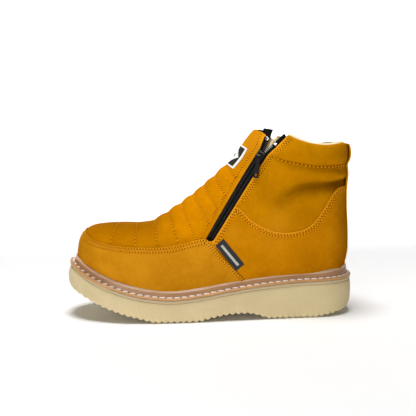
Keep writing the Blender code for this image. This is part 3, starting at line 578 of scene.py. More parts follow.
def closed_object(name, points, materials, smooth_angle=40.0, slot_of=None):
    """A grid of points welded into a closed body or band, with a material slot for each of its columns."""
    bm = bmesh.new()
    made = add_grid(bm, points)
    column = {vert: i % points.shape[1] for i, vert in enumerate(made)}
    for face in bm.faces if slot_of else ():
        face.material_index = slot_of[min(column[vert] for vert in face.verts)]
    bmesh.ops.remove_doubles(bm, verts=bm.verts, dist=WELD)
    bmesh.ops.recalc_face_normals(bm, faces=bm.faces)
    return new_object(name, bm, materials, smooth_angle)


def standing(place, way, normal):
    """Matrix that sets a small piece down at a place, its X along the way and its Z along the normal."""
    z = Vector(normal).normalized()
    x = Vector(way)
    x = (x - z * x.dot(z)).normalized()
    matrix = Matrix((x, z.cross(x), z)).transposed().to_4x4()
    matrix.translation = Vector(place)
    return matrix


def placed(obj, node=None):
    """Makes a piece ride with the shoe and stand for its solid if it has one."""
    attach(obj, "boot")
    if node:
        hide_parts(node)


# Materials
def srgb(red, green, blue):
    """Linear colour of a screen colour given from 0 to 255."""
    parts = [c / 255 for c in (red, green, blue)]
    return tuple(c / 12.92 if c <= 0.04045 else ((c + 0.055) / 1.055) ** 2.4 for c in parts) + (1.0,)


class Value:
    """A shader socket that takes part in Python arithmetic, a math node for each step."""

    def __init__(self, graph, socket):
        self.graph, self.socket = graph, socket

    def step(self, operation, other):
        return self.graph.node("ShaderNodeMath", {"operation": operation}, {0: self, 1: other}, "Value")

    def __add__(self, other):
        return self.step("ADD", other)

    def __mul__(self, other):
        return self.step("MULTIPLY", other)

    def between(self, low, high, out_low=0.0, out_high=1.0):
        """The value moved from low..high to out_low..out_high, held at both ends."""
        inputs = {"Value": self, 1: low, 2: high, 3: out_low, 4: out_high}
        return self.graph.node("ShaderNodeMapRange", {"interpolation_type": "SMOOTHSTEP"}, inputs, "Result")


class Graph:
    """A material's node tree, with its Principled shader."""

    def __init__(self, name, **constants):
        self.material = bpy.data.materials.new(name)
        self.material.use_nodes = True
        self.tree = self.material.node_tree
        self.shader = self.tree.nodes["Principled BSDF"]
        for socket, value in constants.items():
            self.shader.inputs[socket.replace("_", " ")].default_value = value

    def node(self, kind, settings, inputs, output):
        made = self.tree.nodes.new(kind)
        for setting, value in settings.items():
            setattr(made, setting, value)
        for key, value in inputs.items():
            if isinstance(value, Value):
                self.tree.links.new(value.socket, made.inputs[key])
            else:
                made.inputs[key].default_value = value
        return Value(self, made.outputs[output])

    def place(self, stretch=(1.0, 1.0, 1.0)):
        """The point on the object, in metres, stretched along each axis."""
        point = self.node("ShaderNodeTexCoord", {}, {}, "Object")
        return self.node("ShaderNodeMapping", {}, {"Vector": point, "Scale": stretch}, "Vector")

    def noise(self, scale, detail=2.0, roughness=0.5, stretch=(1.0, 1.0, 1.0)):
        inputs = {"Vector": self.place(stretch), "Scale": scale, "Detail": detail, "Roughness": roughness}
        return self.node("ShaderNodeTexNoise", {}, inputs, "Fac")

    def cells(self, scale, stretch=(1.0, 1.0, 1.0)):
        inputs = {"Vector": self.place(stretch), "Scale": scale}
        return self.node("ShaderNodeTexVoronoi", {}, inputs, "Distance")

    def attribute(self, name):
        return self.node("ShaderNodeAttribute", {"attribute_name": name}, {}, "Fac")

    def mix(self, share, first, second):
        """A blend of two colours, each a colour from the graph or a screen colour."""
        first, second = (srgb(*c) if isinstance(c, tuple) else c for c in (first, second))
        return self.node("ShaderNodeMix", {"data_type": "RGBA"}, {0: share, 6: first, 7: second}, 2)

    def bump(self, height, distance, strength=1.0):
        inputs = {"Strength": strength, "Distance": distance * MM, "Height": height}
        return self.node("ShaderNodeBump", {}, inputs, "Normal")

    def finish(self, **inputs):
        for socket, value in inputs.items():
            self.tree.links.new(value.socket, self.shader.inputs[socket.replace("_", " ")])
        return self.material


# Colours for paler leather and painted light, and for painted shade.
WEAR_AND_LIGHT_COLOUR, PAINTED_SHADE_COLOUR, SCUFF_COLOUR = (226, 152, 30), (96, 54, 0), (206, 148, 56)
FOAM_LIGHT, FOAM_DARK, FOAM_PORE = (221, 203, 158), (209, 190, 145), (202, 183, 140)
STRIP_LIGHT, STRIP_DARK = (206, 187, 152), (194, 173, 138)


def nubuck(name, light, dark):
    """Brushed leather: cloudy colour, faint scuffs and a short nap; paler with pale spots, edge bands and
    painted light, darker with painted shade.
    """
    g = Graph(name, Specular_IOR_Level=0.01)
    clouds = g.noise(34.0, 3.0, 0.55)
    mottle = g.noise(260.0, 3.0, 0.6)
    nap = g.noise(1300.0, 2.0, 0.6)
    scuffs = g.noise(75.0, 5.0, 0.7, (0.4, 1.0, 2.6)).between(0.63, 0.74)
    tone = (clouds * 0.9 + mottle * 0.5 + nap * 0.6).between(0.72, 1.28)
    colour = g.mix(tone, light, dark)
    colour = g.mix(scuffs * 0.3, colour, SCUFF_COLOUR)
    # Paler with pale spots, edge bands and painted light on the tongue.
    colour = g.mix(g.attribute("wear_and_light"), colour, WEAR_AND_LIGHT_COLOUR)
    # Darker with painted shade: creases, seams, faces turned up, near the welt and towards the back.
    colour = g.mix(g.attribute("shade"), colour, PAINTED_SHADE_COLOUR)
    height = nap * 0.6 + mottle * 0.8 + clouds * 0.5
    rough = (mottle * 0.25 + nap * 0.2 + 0.62).between(0.6, 1.0, 0.78, 0.98)
    return g.finish(Base_Color=colour, Roughness=rough, Normal=g.bump(height, 0.3, 0.5))


def cut_edge(name, light, dark):
    """Raw fibrous edge of the leather."""
    g = Graph(name, Specular_IOR_Level=0.05)
    fibre = g.noise(900.0, 3.0)
    colour = g.mix(fibre, light, dark)
    return g.finish(Base_Color=colour, Roughness=fibre * 0.2 + 0.75, Normal=g.bump(fibre, 0.2))


def foam():
    """Cream foam rubber of the outsole: fine pores and a faint cloudiness."""
    g = Graph("outsole foam", Specular_IOR_Level=0.3)
    grain = g.noise(1100.0, 3.0, 0.65)
    pores = g.cells(700.0).between(0.1, 0.32)
    clouds = g.noise(30.0, 2.0)
    colour = g.mix((clouds * 0.6 + grain * 0.6).between(0.35, 0.9), FOAM_LIGHT, FOAM_DARK)
    colour = g.mix(pores, FOAM_PORE, colour)
    normal = g.bump(grain * 0.5 + pores, 0.18, 0.6)
    return g.finish(Base_Color=colour, Roughness=grain * 0.2 + 0.65, Normal=normal)


def midsole_strip():
    """Pale buffed strip between welt and outsole."""
    g = Graph("midsole strip", Specular_IOR_Level=0.3)
    streaks = g.noise(260.0, 3.0, 0.6, (0.25, 0.25, 2.0))
    colour = g.mix(streaks, STRIP_LIGHT, STRIP_DARK)
    return g.finish(Base_Color=colour, Roughness=streaks * 0.25 + 0.5, Normal=g.bump(streaks, 0.15))


def welt_leather(name, light, dark):
    """Smooth tan welt with fine lengthwise streaks."""
    g = Graph(name, Coat_Roughness=0.35, Specular_IOR_Level=0.4)
    streaks = g.noise(170.0, 4.0, 0.6, (0.3, 0.3, 2.5))
    fine = g.noise(1400.0, 2.0)
    colour = g.mix((streaks * 0.8 + fine * 0.3).between(0.3, 0.8), light, dark)
    normal = g.bump(streaks * 0.6 + fine * 0.4, 0.12)
    rough = streaks * 0.25 + 0.36
    return g.finish(Base_Color=colour, Roughness=rough, Normal=normal, Coat_Weight=streaks * 0.3)


def woven(name, light, dark, threads):
    """Cloth with a fine over-and-under weave."""
    g = Graph(name, Specular_IOR_Level=0.05)
    place = {"Vector": g.place(), "Scale": threads, "Distortion": 0.6, "Detail": 1.0}
    warp, weft = (
        g.node("ShaderNodeTexWave", {"bands_direction": direction}, place, "Fac") for direction in ("X", "Z")
    )
    fuzz = g.noise(900.0, 2.0)
    weave = warp * 0.5 + weft * 0.5
    colour = g.mix((weave * 0.7 + fuzz * 0.5).between(0.2, 0.9), dark, light)
    normal = g.bump(weave * 0.6 + fuzz * 0.5, 0.25, 0.7)
    return g.finish(Base_Color=colour, Roughness=fuzz * 0.12 + 0.8, Normal=normal)


def thread(name, light, dark):
    """Twisted sewing thread."""
    g = Graph(name, Specular_IOR_Level=0.05)
    twist = g.noise(1600.0, 2.0)
    colour = g.mix(twist, light, dark)
    return g.finish(Base_Color=colour, Roughness=twist * 0.2 + 0.5, Normal=g.bump(twist, 0.15))


def hard(name, light, dark, metallic, rough_low, rough_high):
    """Painted or bare metal and plastic, with slight wear."""
    g = Graph(name, Metallic=metallic, Specular_IOR_Level=0.5 if metallic else 0.25)
    wear = g.noise(420.0, 3.0, 0.6)
    colour = g.mix(wear, light, dark)
    rough = wear.between(0.3, 0.7, rough_low, rough_high)
    return g.finish(Base_Color=colour, Roughness=rough, Normal=g.bump(wear, 0.05))


PANEL = nubuck("nubuck front", (217, 139, 0), (196, 122, 0))
VAMP = nubuck("nubuck vamp", (221, 149, 26), (198, 129, 12))
QUARTER = nubuck("nubuck quarter", (217, 140, 8), (194, 120, 0))
SHAFT = nubuck("nubuck shaft", (209, 138, 2), (187, 119, 0))
# Painted light: the back strip's leather brighter, as if lit from behind.
LIT_STRIP = nubuck("nubuck backstay", (255, 176, 26), (244, 158, 12))
EDGE = cut_edge("leather edge", (224, 158, 44), (196, 126, 18))
# Painted shadow: dark rim along the back strip's edges.
SHADOW_EDGE = cut_edge("shaded edge", (128, 76, 4), (104, 58, 0))
FOAM = foam()
MIDSOLE = midsole_strip()
WELT_EDGE = welt_leather("welt edge", (198, 152, 98), (180, 132, 78))
WELT_BEAD = welt_leather("welt bead", (184, 140, 100), (166, 120, 80))
# Painted highlight: a pale band along the top of the welt's bead.
WELT_HIGHLIGHT = welt_leather("welt rim", (228, 196, 168), (206, 168, 138))
LINING = woven("lining", (250, 236, 198), (240, 222, 178), 260.0)
TAPE = woven("zip tape", (22, 21, 20), (12, 11, 11), 420.0)
LABEL = woven("side label", (66, 66, 66), (46, 46, 46), 300.0)
LABEL_STRIPE = woven("side label stripe", (206, 204, 198), (180, 178, 172), 300.0)
PATCH_WHITE = woven("patch white", (250, 249, 246), (232, 230, 224), 300.0)
PATCH_BLACK = woven("patch black", (62, 57, 51), (40, 36, 32), 300.0)
PLAIN_THREAD = thread("leather thread", (252, 174, 24), (236, 152, 10))
# Painted shade: dark discs for the shade inside the needle holes.
HOLE_SHADE = thread("needle hole", (84, 40, 0), (60, 26, 0))
WELT_THREAD = thread("welt thread", (255, 250, 244), (240, 228, 216))
COIL = hard("zip coil", (24, 22, 21), (12, 11, 11), 0.0, 0.4, 0.55)
# Painted highlights: the open teeth lighter than the black coil, where light catches them.
REAR_TEETH_HIGHLIGHT = hard("open teeth", (214, 212, 206), (168, 166, 160), 0.0, 0.3, 0.45)
FRONT_TEETH_HIGHLIGHT = hard("front teeth", (70, 70, 70), (48, 48, 48), 0.0, 0.3, 0.45)
BLACK_METAL = hard("black painted metal", (18, 18, 18), (8, 8, 8), 0.0, 0.28, 0.42)
BRIGHT_METAL = hard("bright metal", (226, 226, 224), (180, 180, 178), 1.0, 0.2, 0.35)


# Sole
OUTSOLE_RIM = (  # inset, share of the height
    (24.0, 0.0), (12.0, 0.0), (2.6, 0.0), (1.6, 0.012), (1.0, 0.05), (0.4, 0.16), (0.0, 0.4),
    (0.2, 0.7), (0.7, 0.93), (1.0, 0.98), (1.6, 1.0), (10.0, 1.0),
)
MIDSOLE_PROFILE = (  # inset, height above the outsole
    (14.0, 0.1), (1.3, 0.1), (0.9, 0.3), (0.7, 0.9), (0.7, 2.3), (1.0, 2.8), (6.0, 2.8), (14.0, 2.8),
)
WELT_PROFILE = (  # inset, height above the welt's top face
    (8.0, -3.2), (1.0, -3.2), (0.3, -2.9), (0.0, -2.3), (0.05, -1.6), (0.4, -1.1), (1.0, -0.9),
    (2.8, -0.9), (3.3, -1.2), (3.8, -1.4), (4.2, -1.1), (4.4, 0.4), (4.6, 2.2), (4.9, 4.0),
    (5.4, 5.4), (6.1, 6.4), (7.0, 6.8), (7.9, 6.6), (8.5, 6.0), (8.7, 4.4), (8.7, 0.0),
)
WELT_BEAD_FROM, WELT_HIGHLIGHT_FROM, WELT_HIGHLIGHT_TO = 8, 13, 15
BEAD_TOE_RISE, BEAD_TOE_FADE, BEAD_HEEL_RISE, BEAD_HEEL_FADE = 2.4, 24.0, 3.8, 26.0
STITCH_INSET, STITCH_PITCH, STITCH_LENGTH, STITCH_WIDTH = 2.9, 7.7, 7.0, 1.8
WELT_TOE_FROM, WELT_TOE_TO, WELT_TOE_INSET, STITCH_TOE_INSET = -95.0, -140.0, 1.4, 0.9
WELT_LEDGE_ROW, WELT_TOE_DROP = 7, (2.2, 2.2, 2.2, 1.6, 0.6)
STITCH_DEPTH, STITCH_HEIGHT, WELT_STATIONS, STITCH_STATIONS = -0.5, 1.7, 420, 900
INSOLE_RISES, INSOLE_INSET, INSOLE_EDGE = (0.3, 0.7, 1.0), FEATHER_INSET + UPPER_WALL + 1.6, 0.8
OUTSOLE_STATIONS, RIPPLE_STEPS, INSOLE_STATIONS = 90, 10, 120
TOE_LEAN, TOE_LEAN_FADE = 2.2, 16.0


def stations(count):
    """Places along the shoe, closer together at heel and toe."""
    return HALF_LENGTH * np.cos(np.linspace(0, math.pi, count))


def both_sides(rows):
    """Each side with each row: in order over the lateral side, then back over the medial one."""
    return [(side, row) for side, order in ((LATERAL, rows), (MEDIAL, rows[::-1])) for row in order]


def perimeter(profile, surface, count):
    """Points round the plan for a profile of (inset, height above a surface) rows."""
    rows = []
    for side, x in both_sides(stations(count)):
        places = [(*plan_point(x, side, inset), rise) for inset, rise in profile]
        rows.append([(px, py, surface(px) + rise) for px, py, rise in places])
    return np.array(rows, float)


def ripple(x):
    """Rounded teeth across the tread, with narrow notches between them."""
    phase = ((x - RIPPLE_FROM) / RIPPLE_PITCH) % 1.0
    inside = blend_in(x, RIPPLE_FROM - 1, RIPPLE_FROM + 1) * (1 - blend_in(x, RIPPLE_TO - 1, RIPPLE_TO + 1))
    return RIPPLE_DEPTH * inside * np.abs(2 * np.abs(phase - 0.5)) ** RIPPLE_ROUND


def toe_lean(x):
    """How far the top of the sole draws back at the toe's tip."""
    return TOE_LEAN * bell(x + HALF_LENGTH, TOE_LEAN_FADE)


def make_outsole():
    ripples = np.arange(RIPPLE_FROM, RIPPLE_TO, RIPPLE_PITCH / RIPPLE_STEPS)
    xs = np.unique(np.concatenate((stations(OUTSOLE_STATIONS), ripples)))
    rings = []
    for side, (inset, share) in both_sides(OUTSOLE_RIM):
        px, py = plan_point(xs, side, inset)
        low = tread_z(px) + ripple(px) * (1 - share) ** 2
        high = low + share * (sole_top_z(px) - low)
        rings.append(np.stack((px + share**2 * toe_lean(px), py, high), -1))
    points = np.stack([*rings, rings[0]], 1)
    placed(closed_object("outsole_foam", points, [FOAM], 60.0), "outsole")


def make_midsole():
    points = perimeter(MIDSOLE_PROFILE, sole_top_z, WELT_STATIONS)
    points[..., 0] += toe_lean(points[..., 0])
    placed(closed_object("midsole_strip", points, [MIDSOLE], 50.0), "midsole")


def toe_blended(profile, toe_profile, count):
    """Points round the plan for a profile that changes to another one at the toe, and the change's weight."""
    points, toe = (perimeter(rows, welt_top_z, count) for rows in (profile, toe_profile))
    weight = blend_in(-points[:, :1, 0], -WELT_TOE_FROM, -WELT_TOE_TO)
    points += weight[..., None] * (toe - points)
    points[..., 0] += toe_lean(points[..., 0])
    return points, weight


def make_welt():
    ledge = WELT_PROFILE[:WELT_LEDGE_ROW]
    wider = [(inset + WELT_TOE_INSET, rise) for inset, rise in WELT_PROFILE[WELT_LEDGE_ROW:]]
    points, weight = toe_blended(WELT_PROFILE, (*ledge, *wider), WELT_STATIONS)
    points[:, : len(WELT_TOE_DROP), 2] -= weight * np.array(WELT_TOE_DROP)
    x = points[..., 0]
    ends = BEAD_TOE_RISE * bell(x + HALF_LENGTH, BEAD_TOE_FADE)
    ends += BEAD_HEEL_RISE * bell(x - HALF_LENGTH, BEAD_HEEL_FADE)
    points[..., 2] += ends * np.clip([rise / BEAD_HEIGHT for _, rise in WELT_PROFILE], 0.0, 1.0)
    slots = [0] * WELT_BEAD_FROM + [1] * (len(WELT_PROFILE) - WELT_BEAD_FROM)
    # The pale band along the bead's top is a painted highlight.
    slots[WELT_HIGHLIGHT_FROM:WELT_HIGHLIGHT_TO] = [2] * (WELT_HIGHLIGHT_TO - WELT_HIGHLIGHT_FROM)
    welt = closed_object("welt_band", points, [WELT_EDGE, WELT_BEAD, WELT_HIGHLIGHT], 50.0, slots)
    placed(welt, "welt")
    insets = (STITCH_INSET, STITCH_INSET + STITCH_TOE_INSET)
    row = toe_blended(*([(inset, STITCH_DEPTH)] for inset in insets), STITCH_STATIONS)[0][:, 0]
    normal = np.tile((0.0, 0.0, 1.0), (len(row), 1))
    template = stitch_template(STITCH_LENGTH, STITCH_WIDTH, STITCH_HEIGHT)
    obj = stitched("welt_stitches", [(row, normal, STITCH_PITCH)], template, [WELT_THREAD])
    placed(obj)


def make_insole():
    rings = []
    for side, rise in both_sides(INSOLE_RISES):
        edge = INSOLE_EDGE if rise == INSOLE_RISES[-1] else 0.0
        px, py = plan_point(stations(INSOLE_STATIONS), side, INSOLE_INSET + edge)
        px = px + FEATHER_SHIFT
        rings.append(np.stack((px, py, feather_z(px) + SOLID_GAP + rise * INSOLE_THICK), -1))
    points = np.stack([*rings, rings[0]], 1)
    placed(closed_object("insole_cloth", points, [LINING]), "insole")


# Stitches
THREAD_FULLNESS, HOLE_HEIGHT, WAY_STEP = 0.7, 0.35, 0.3


def stitch_template(length, width, height, hole=None):
    """One stitch lying along X: a rounded run of thread, with a dark disc at its end if asked for, painted as
    the shade in the needle hole.
    """
    bm = bmesh.new()
    made = bmesh.ops.create_uvsphere(bm, u_segments=6, v_segments=4, radius=0.5)["verts"]
    for vert in made:
        vert.co.x = math.copysign(abs(2 * vert.co.x) ** THREAD_FULLNESS / 2, vert.co.x)
    bmesh.ops.scale(bm, vec=(length, width, height), verts=made)
    if hole:
        dot = bmesh.ops.create_uvsphere(bm, u_segments=6, v_segments=3, radius=0.5)["verts"]
        bmesh.ops.scale(bm, vec=(hole, hole, HOLE_HEIGHT), verts=dot)
        bmesh.ops.translate(bm, vec=((length + hole) / 2, 0, 0), verts=dot)
        for face in {f for v in dot for f in v.link_faces}:
            face.material_index = 1
    mesh = bpy.data.meshes.new("stitch template")
    bm.to_mesh(mesh)
    bm.free()
    return mesh


def stitched(name, rows, template, materials, stagger=0.0):
    """Copies of a template set along rows of (points, normals, pitch), every other row shifted."""
    bm = bmesh.new()
    size = len(template.vertices)
    for i, (points, normals, pitch) in enumerate(rows):
        run = run_along(points)
        wanted = np.arange(pitch * (0.5 + stagger * (i % 2)), run[-1], pitch)
        ways = read_along(wanted + WAY_STEP, run, points) - read_along(wanted - WAY_STEP, run, points)
        places, ups = read_along(wanted, run, points), read_along(wanted, run, normals)
        for place, way, up in zip(places, ways, ups):
            bm.from_mesh(template)
            bm.verts.ensure_lookup_table()
            bmesh.ops.transform(bm, matrix=standing(place, way, up), verts=bm.verts[-size:])
    bpy.data.meshes.remove(template)
    return new_object(name, bm, materials, 60.0)


# Upper
QUILT = (  # x at the crown, x and z where the seam ends at the side, rise of the ridge behind it
    (-99.0, -106.1, 83.1, 0.4),
    (-79.0, -81.0, 79.7, 0.5),
    (-60.0, -59.3, 79.5, 2.0),
    (-45.5, -37.5, 82.8, 1.9),
    (-32.0, -19.5, 87.6, 1.8),
    (-19.0, -4.2, 101.3, 1.5),
    (-7.5, 4.9, 114.8, 1.6),
    (4.5, 14.6, 127.1, 1.9),
    (17.0, 27.0, 144.0, 0.0),
)
QUILT_FADE, QUILT_REACH, QUILT_ROUND, QUILT_SHADE, QUILT_SHADE_WIDE = (-1.0, 7.0), 1.3, 0.8, 0.1, 0.09
COLLAR_SEAM = (  # x, z
    (58.0, 171.5),
    (67.6, 167.1),
    (73.6, 165.1),
    (85.7, 162.7),
    (97.7, 160.5),
    (109.1, 159.1),
    (125.0, 158.9),
    (148.0, 159.8),
)
COLLAR_RISE = (  # x, how far the collar's edge stands above the solid's
    (70.0, 0.8),
    (80.0, 1.4),
    (92.0, 1.8),
    (109.0, 3.0),
    (129.0, 3.3),
    (137.0, 3.2),
    (143.0, 1.2),
    (147.0, 0.0),
)
INNER_RISE_SHARE, COLLAR_PUFF, PUFF_FADE, PINCH, PINCH_WIDE = 0.45, 2.8, 12.0, 1.3, 4.0
LINED_THICK, OVERLAY_THICK, OVERLAY_LIFT = 2.6, 1.2, 1.5
ANKLE_CREASE = (  # x, z, depth, half-width of the trough
    (52.0, 114.0, 0.0, 12.0),
    (64.0, 121.5, 0.7, 12.0),
    (74.0, 129.0, 2.0, 11.0),
    (82.4, 134.6, 3.0, 9.6),
    (90.0, 138.2, 3.4, 8.4),
    (99.0, 140.0, 3.7, 7.4),
    (112.3, 140.4, 3.9, 6.4),
    (125.7, 140.8, 4.2, 5.6),
    (132.4, 141.4, 4.4, 5.0),
    (138.5, 142.6, 4.2, 4.4),
    (148.0, 144.0, 3.0, 4.2),
)
FOLD_AT_BACK, FOLD_TURN, FOLD_SHADE, FOLD_SHADE_TURN = 0.1, (10.0, 28.0), 0.17, (4.0, 12.0)
SWELL, SWELL_AT, SWELL_WIDE, TROUGH_SIDES, FOLD_SHADE_SIDES = 0.42, 1.7, 0.8, (1.5, 0.75), (1.7, 0.8)
# UPWARD_DARK, WELT_DARK, BACK_DARK, HEEL_DARK and BESIDE_DARK are painted shade; the tongue's paler tone is
# painted light.
UPWARD_DARK, UPWARD_FADE, WELT_DARK, WELT_DARK_FADE = 0.5, (7.0, 10.0), 0.34, 11.0
BACK_DARK, BACK_DARK_FADE, TONGUE_LIGHT, TONGUE_LIGHT_FADE = 0.12, (60.0, 140.0), 0.35, (14.0, 18.0)
HEEL_DARK, HEEL_DARK_FADE, HEEL_DARK_UP_TO = 0.28, (118.0, 144.0), (110.0, 150.0)
BESIDE_STRIP, BESIDE_DARK, BESIDE_WIDE, BESIDE_FADE = 0.4, 0.65, 1.5, (128.0, 134.0)
PLUG_PUFF, PLUG_PUFF_FADE, TOE_TIP_PUFF, TOE_TIP_FADE = 0.2, (5.0, 8.0), 0.4, (3.0, 5.0)
BACKSTAY_HALF, BACKSTAY_LIFT = 16.5, 2.0
# Darker spots are painted shade; paler spots are lighter leather.
SHADE_AND_PALE_SPOTS = (  # x, z, radius, darker, paler
    (60.0, 86.0, 15.0, 0.0, 0.28),
    (68.0, 103.0, 14.0, 0.0, 0.25),
    (20.0, 91.0, 9.0, 0.0, 0.35),
    (-112.0, 55.0, 9.0, 0.0, 0.25),
    (-60.0, 60.0, 22.0, 0.0, 0.15),
    (48.0, 127.0, 13.0, 0.12, 0.0),
    (100.0, 60.0, 18.0, 0.1, 0.0),
)
collar_seam_z, collar_rise = smooth_curve(COLLAR_SEAM), smooth_curve(COLLAR_RISE)


def quilt_lines(side):
    """For each quilting seam, its section at the crown and at the side, and the side end's share of arc."""
    lines = []
    for at_crown, x, z, _ in QUILT:
        number, share = (float(v[0]) for v in located([(x, z)], side))
        lines.append((section_where(lambda n: crown_x(n) - at_crown), number, share))
    return lines


def quilted(patch):
    """Padded ridges between the quilting seams of the front panel, with painted shade along the seams."""
    depth = np.minimum(ahead_of_zip(patch.base), patch.z - moc_seam_z(patch.x))
    fade = blend_in(depth, *QUILT_FADE)
    seams = []
    for crown, end, share in quilt_lines(patch.side):
        down = np.clip((2.0 - patch.share) / (2.0 - share), 0.0, QUILT_REACH)
        seams.append(crown + (end - crown) * down)
    rise = np.zeros(patch.number.shape)
    for low, high, row in zip(seams, seams[1:], QUILT):
        part = np.clip((patch.number - low) / (high - low), 0.0, 1.0)
        rise += row[3] * np.sin(math.pi * part) ** QUILT_ROUND
    patch.lift += rise * fade
    near = np.min([np.abs(patch.number - line) for line in seams], axis=0)
    # Painted shade along the quilting seams.
    patch.shade += QUILT_SHADE * fade * bell(near, QUILT_SHADE_WIDE)


def painted_shade_and_marks(patch):
    """Painted shade where the leather faces up, down by the welt, towards the back and heel, a painted shadow
    beside the back strip, and spots of painted shade and paler leather.
    """
    low = np.maximum(patch.z - welt_top_z(patch.x), 0.0)
    upward = np.clip(patch.normal[..., 2], 0.0, 1.0)
    # Painted shade where the leather faces up.
    patch.shade += UPWARD_DARK * upward * (1 - blend_in(patch.number, *UPWARD_FADE))
    # Painted shade down by the welt, towards the back and low on the heel.
    patch.shade += WELT_DARK * np.exp(-low / WELT_DARK_FADE) + BACK_DARK * blend_in(patch.x, *BACK_DARK_FADE)
    patch.shade += HEEL_DARK * blend_in(patch.x, *HEEL_DARK_FADE) * (1 - blend_in(patch.z, *HEEL_DARK_UP_TO))
    # Darker spots are painted shade; paler spots are lighter leather.
    for at_x, at_z, radius, darker, paler in SHADE_AND_PALE_SPOTS if patch.side == LATERAL else ():
        near = np.exp(-((patch.x - at_x) ** 2 + (patch.z - at_z) ** 2) / radius**2)
        patch.shade += darker * near
        patch.wear_and_light += paler * near
    # Painted shadow beside the back strip.
    beside = np.abs(patch.y) - BACKSTAY_HALF - BESIDE_STRIP
    patch.shade += BESIDE_DARK * bell(beside, BESIDE_WIDE) * blend_in(patch.x, *BESIDE_FADE)


TOE_TUCK = (  # section, how far the leather draws in over the welt
    (0.0, 0.0),
    (1.5, 2.5),
    (3.0, 5.6),
    (4.5, 4.6),
    (6.0, 2.0),
    (7.5, 0.0),
)
HEEL_TUCK, HEEL_TUCK_FADE, TUCK_FROM, TUCK_FADE, PALE_FADE = 1.8, (104.0, 130.0), 5.0, 13.0, (0.7, 1.2)
toe_tuck = smooth_curve(TOE_TUCK)


def tucked(patch):
    """The leather drawn in above the welt, beside the toe's tip and round the heel."""
    above = patch.z - welt_top_z(patch.x) - TUCK_FROM
    amount = toe_tuck(patch.number) + HEEL_TUCK * blend_in(patch.x, *HEEL_TUCK_FADE)
    patch.lift -= amount * bell(np.maximum(above, 0.0), TUCK_FADE)


def folded_edge(patch, axis, end, wide, amount):
    """A paler band of leather along a turned or cut edge."""
    patch.wear_and_light += amount * (1 - blend_in(patch.from_edge(axis, end), *(wide * part for part in PALE_FADE)))


def nearest(points, line):
    """Distance of each point of a grid from a line of points."""
    return np.array([np.linalg.norm(row[:, None] - line[None], axis=-1).min(1) for row in points])


FRONT_TIP_ROWS, FRONT_TIP_TO, FRONT_ROWS, FRONT_COLUMNS, TONGUE_TOP_ROUND = 40, 5.0, 220, 66, 1.2
# SEAM_DARK is a painted shadow line above the moc seam.
ABOVE_SEAM, SEAM_DARK, SEAM_DARK_WIDE, SEAM_DARK_TO = 3.0, 0.3, 1.0, (-12.0, -8.0)
BOUND_FROM, BOUND_DROP, BOUND_ROUND, BOUND_PALE, BOUND_FADE = (10.6, 11.2), 0.9, 1.0, 0.5, (1.1, 2.0)
TONGUE_CORNER_DROP, TONGUE_CORNER_WIDE, TONGUE_CORNER_FROM = 4.0, 6.0, 19.6


def make_upper_front():
    tip = eased(FRONT_TIP_ROWS, 0.0, FRONT_TIP_TO)
    rows = np.unique(np.concatenate((tip, np.linspace(FRONT_TIP_TO, LAST_SECTION, FRONT_ROWS))))
    patches = {}
    for side in SIDES:
        low = share_where(ahead_of_zip, rows, side, True)[:, None]
        share = low + (2.0 - low) * eased(FRONT_COLUMNS)[None, :]
        patch = patches[side] = Patch(side, np.repeat(rows[:, None], FRONT_COLUMNS, 1), share)
        quilted(patch)
        painted_shade_and_marks(patch)
        tucked(patch)
        above_seam = patch.z - moc_seam_z(patch.x)
        puff = PLUG_PUFF + TOE_TIP_PUFF * (1 - blend_in(patch.number, *TOE_TIP_FADE))
        fade = 1 - blend_in(patch.number, *PLUG_PUFF_FADE)
        patch.lift += puff * blend_in(above_seam, 0.0, ABOVE_SEAM) * fade
        # Painted shadow: a dark line along the moc seam's edge.
        seam_dark = SEAM_DARK * bell(above_seam, SEAM_DARK_WIDE)
        patch.shade += seam_dark * (1 - blend_in(patch.x, *SEAM_DARK_TO))
        # Painted light: the tongue made paler, as lit from the front.
        patch.wear_and_light += TONGUE_LIGHT * blend_in(patch.number, *TONGUE_LIGHT_FADE)
        bound = blend_in(rows, *BOUND_FROM)[:, None]
        from_zip = patch.from_edge(1, 0)
        patch.lift -= bound * BOUND_DROP * quarter_round(from_zip, BOUND_ROUND)
        patch.wear_and_light += BOUND_PALE * bound * (1 - blend_in(from_zip, *BOUND_FADE))
        patch.round_edge(0, 1, TONGUE_TOP_ROUND)
        if side == LATERAL:
            high = blend_in(rows, TONGUE_CORNER_FROM, LAST_SECTION)[:, None]
            patch.rise -= TONGUE_CORNER_DROP * np.exp(-from_zip / TONGUE_CORNER_WIDE) * high
    front = leather_object("front_panel", patches.values(), [PANEL, LINING], LINED_THICK, 1)
    placed(front, "upper")
    return patches


COLLAR_ARC, LEAST_COLLAR, PUFF_ROUND, PUFF_TURN = np.linspace(0.0, 1.6, 200), 4.0, 0.8, 30.0
# COLLAR_DARK and PINCH_DARK are painted shade.
COLLAR_DARK, COLLAR_DARK_WIDE, PINCH_DARK, COLLAR_AT_BACK = 0.22, 1.4, 0.12, 0.2


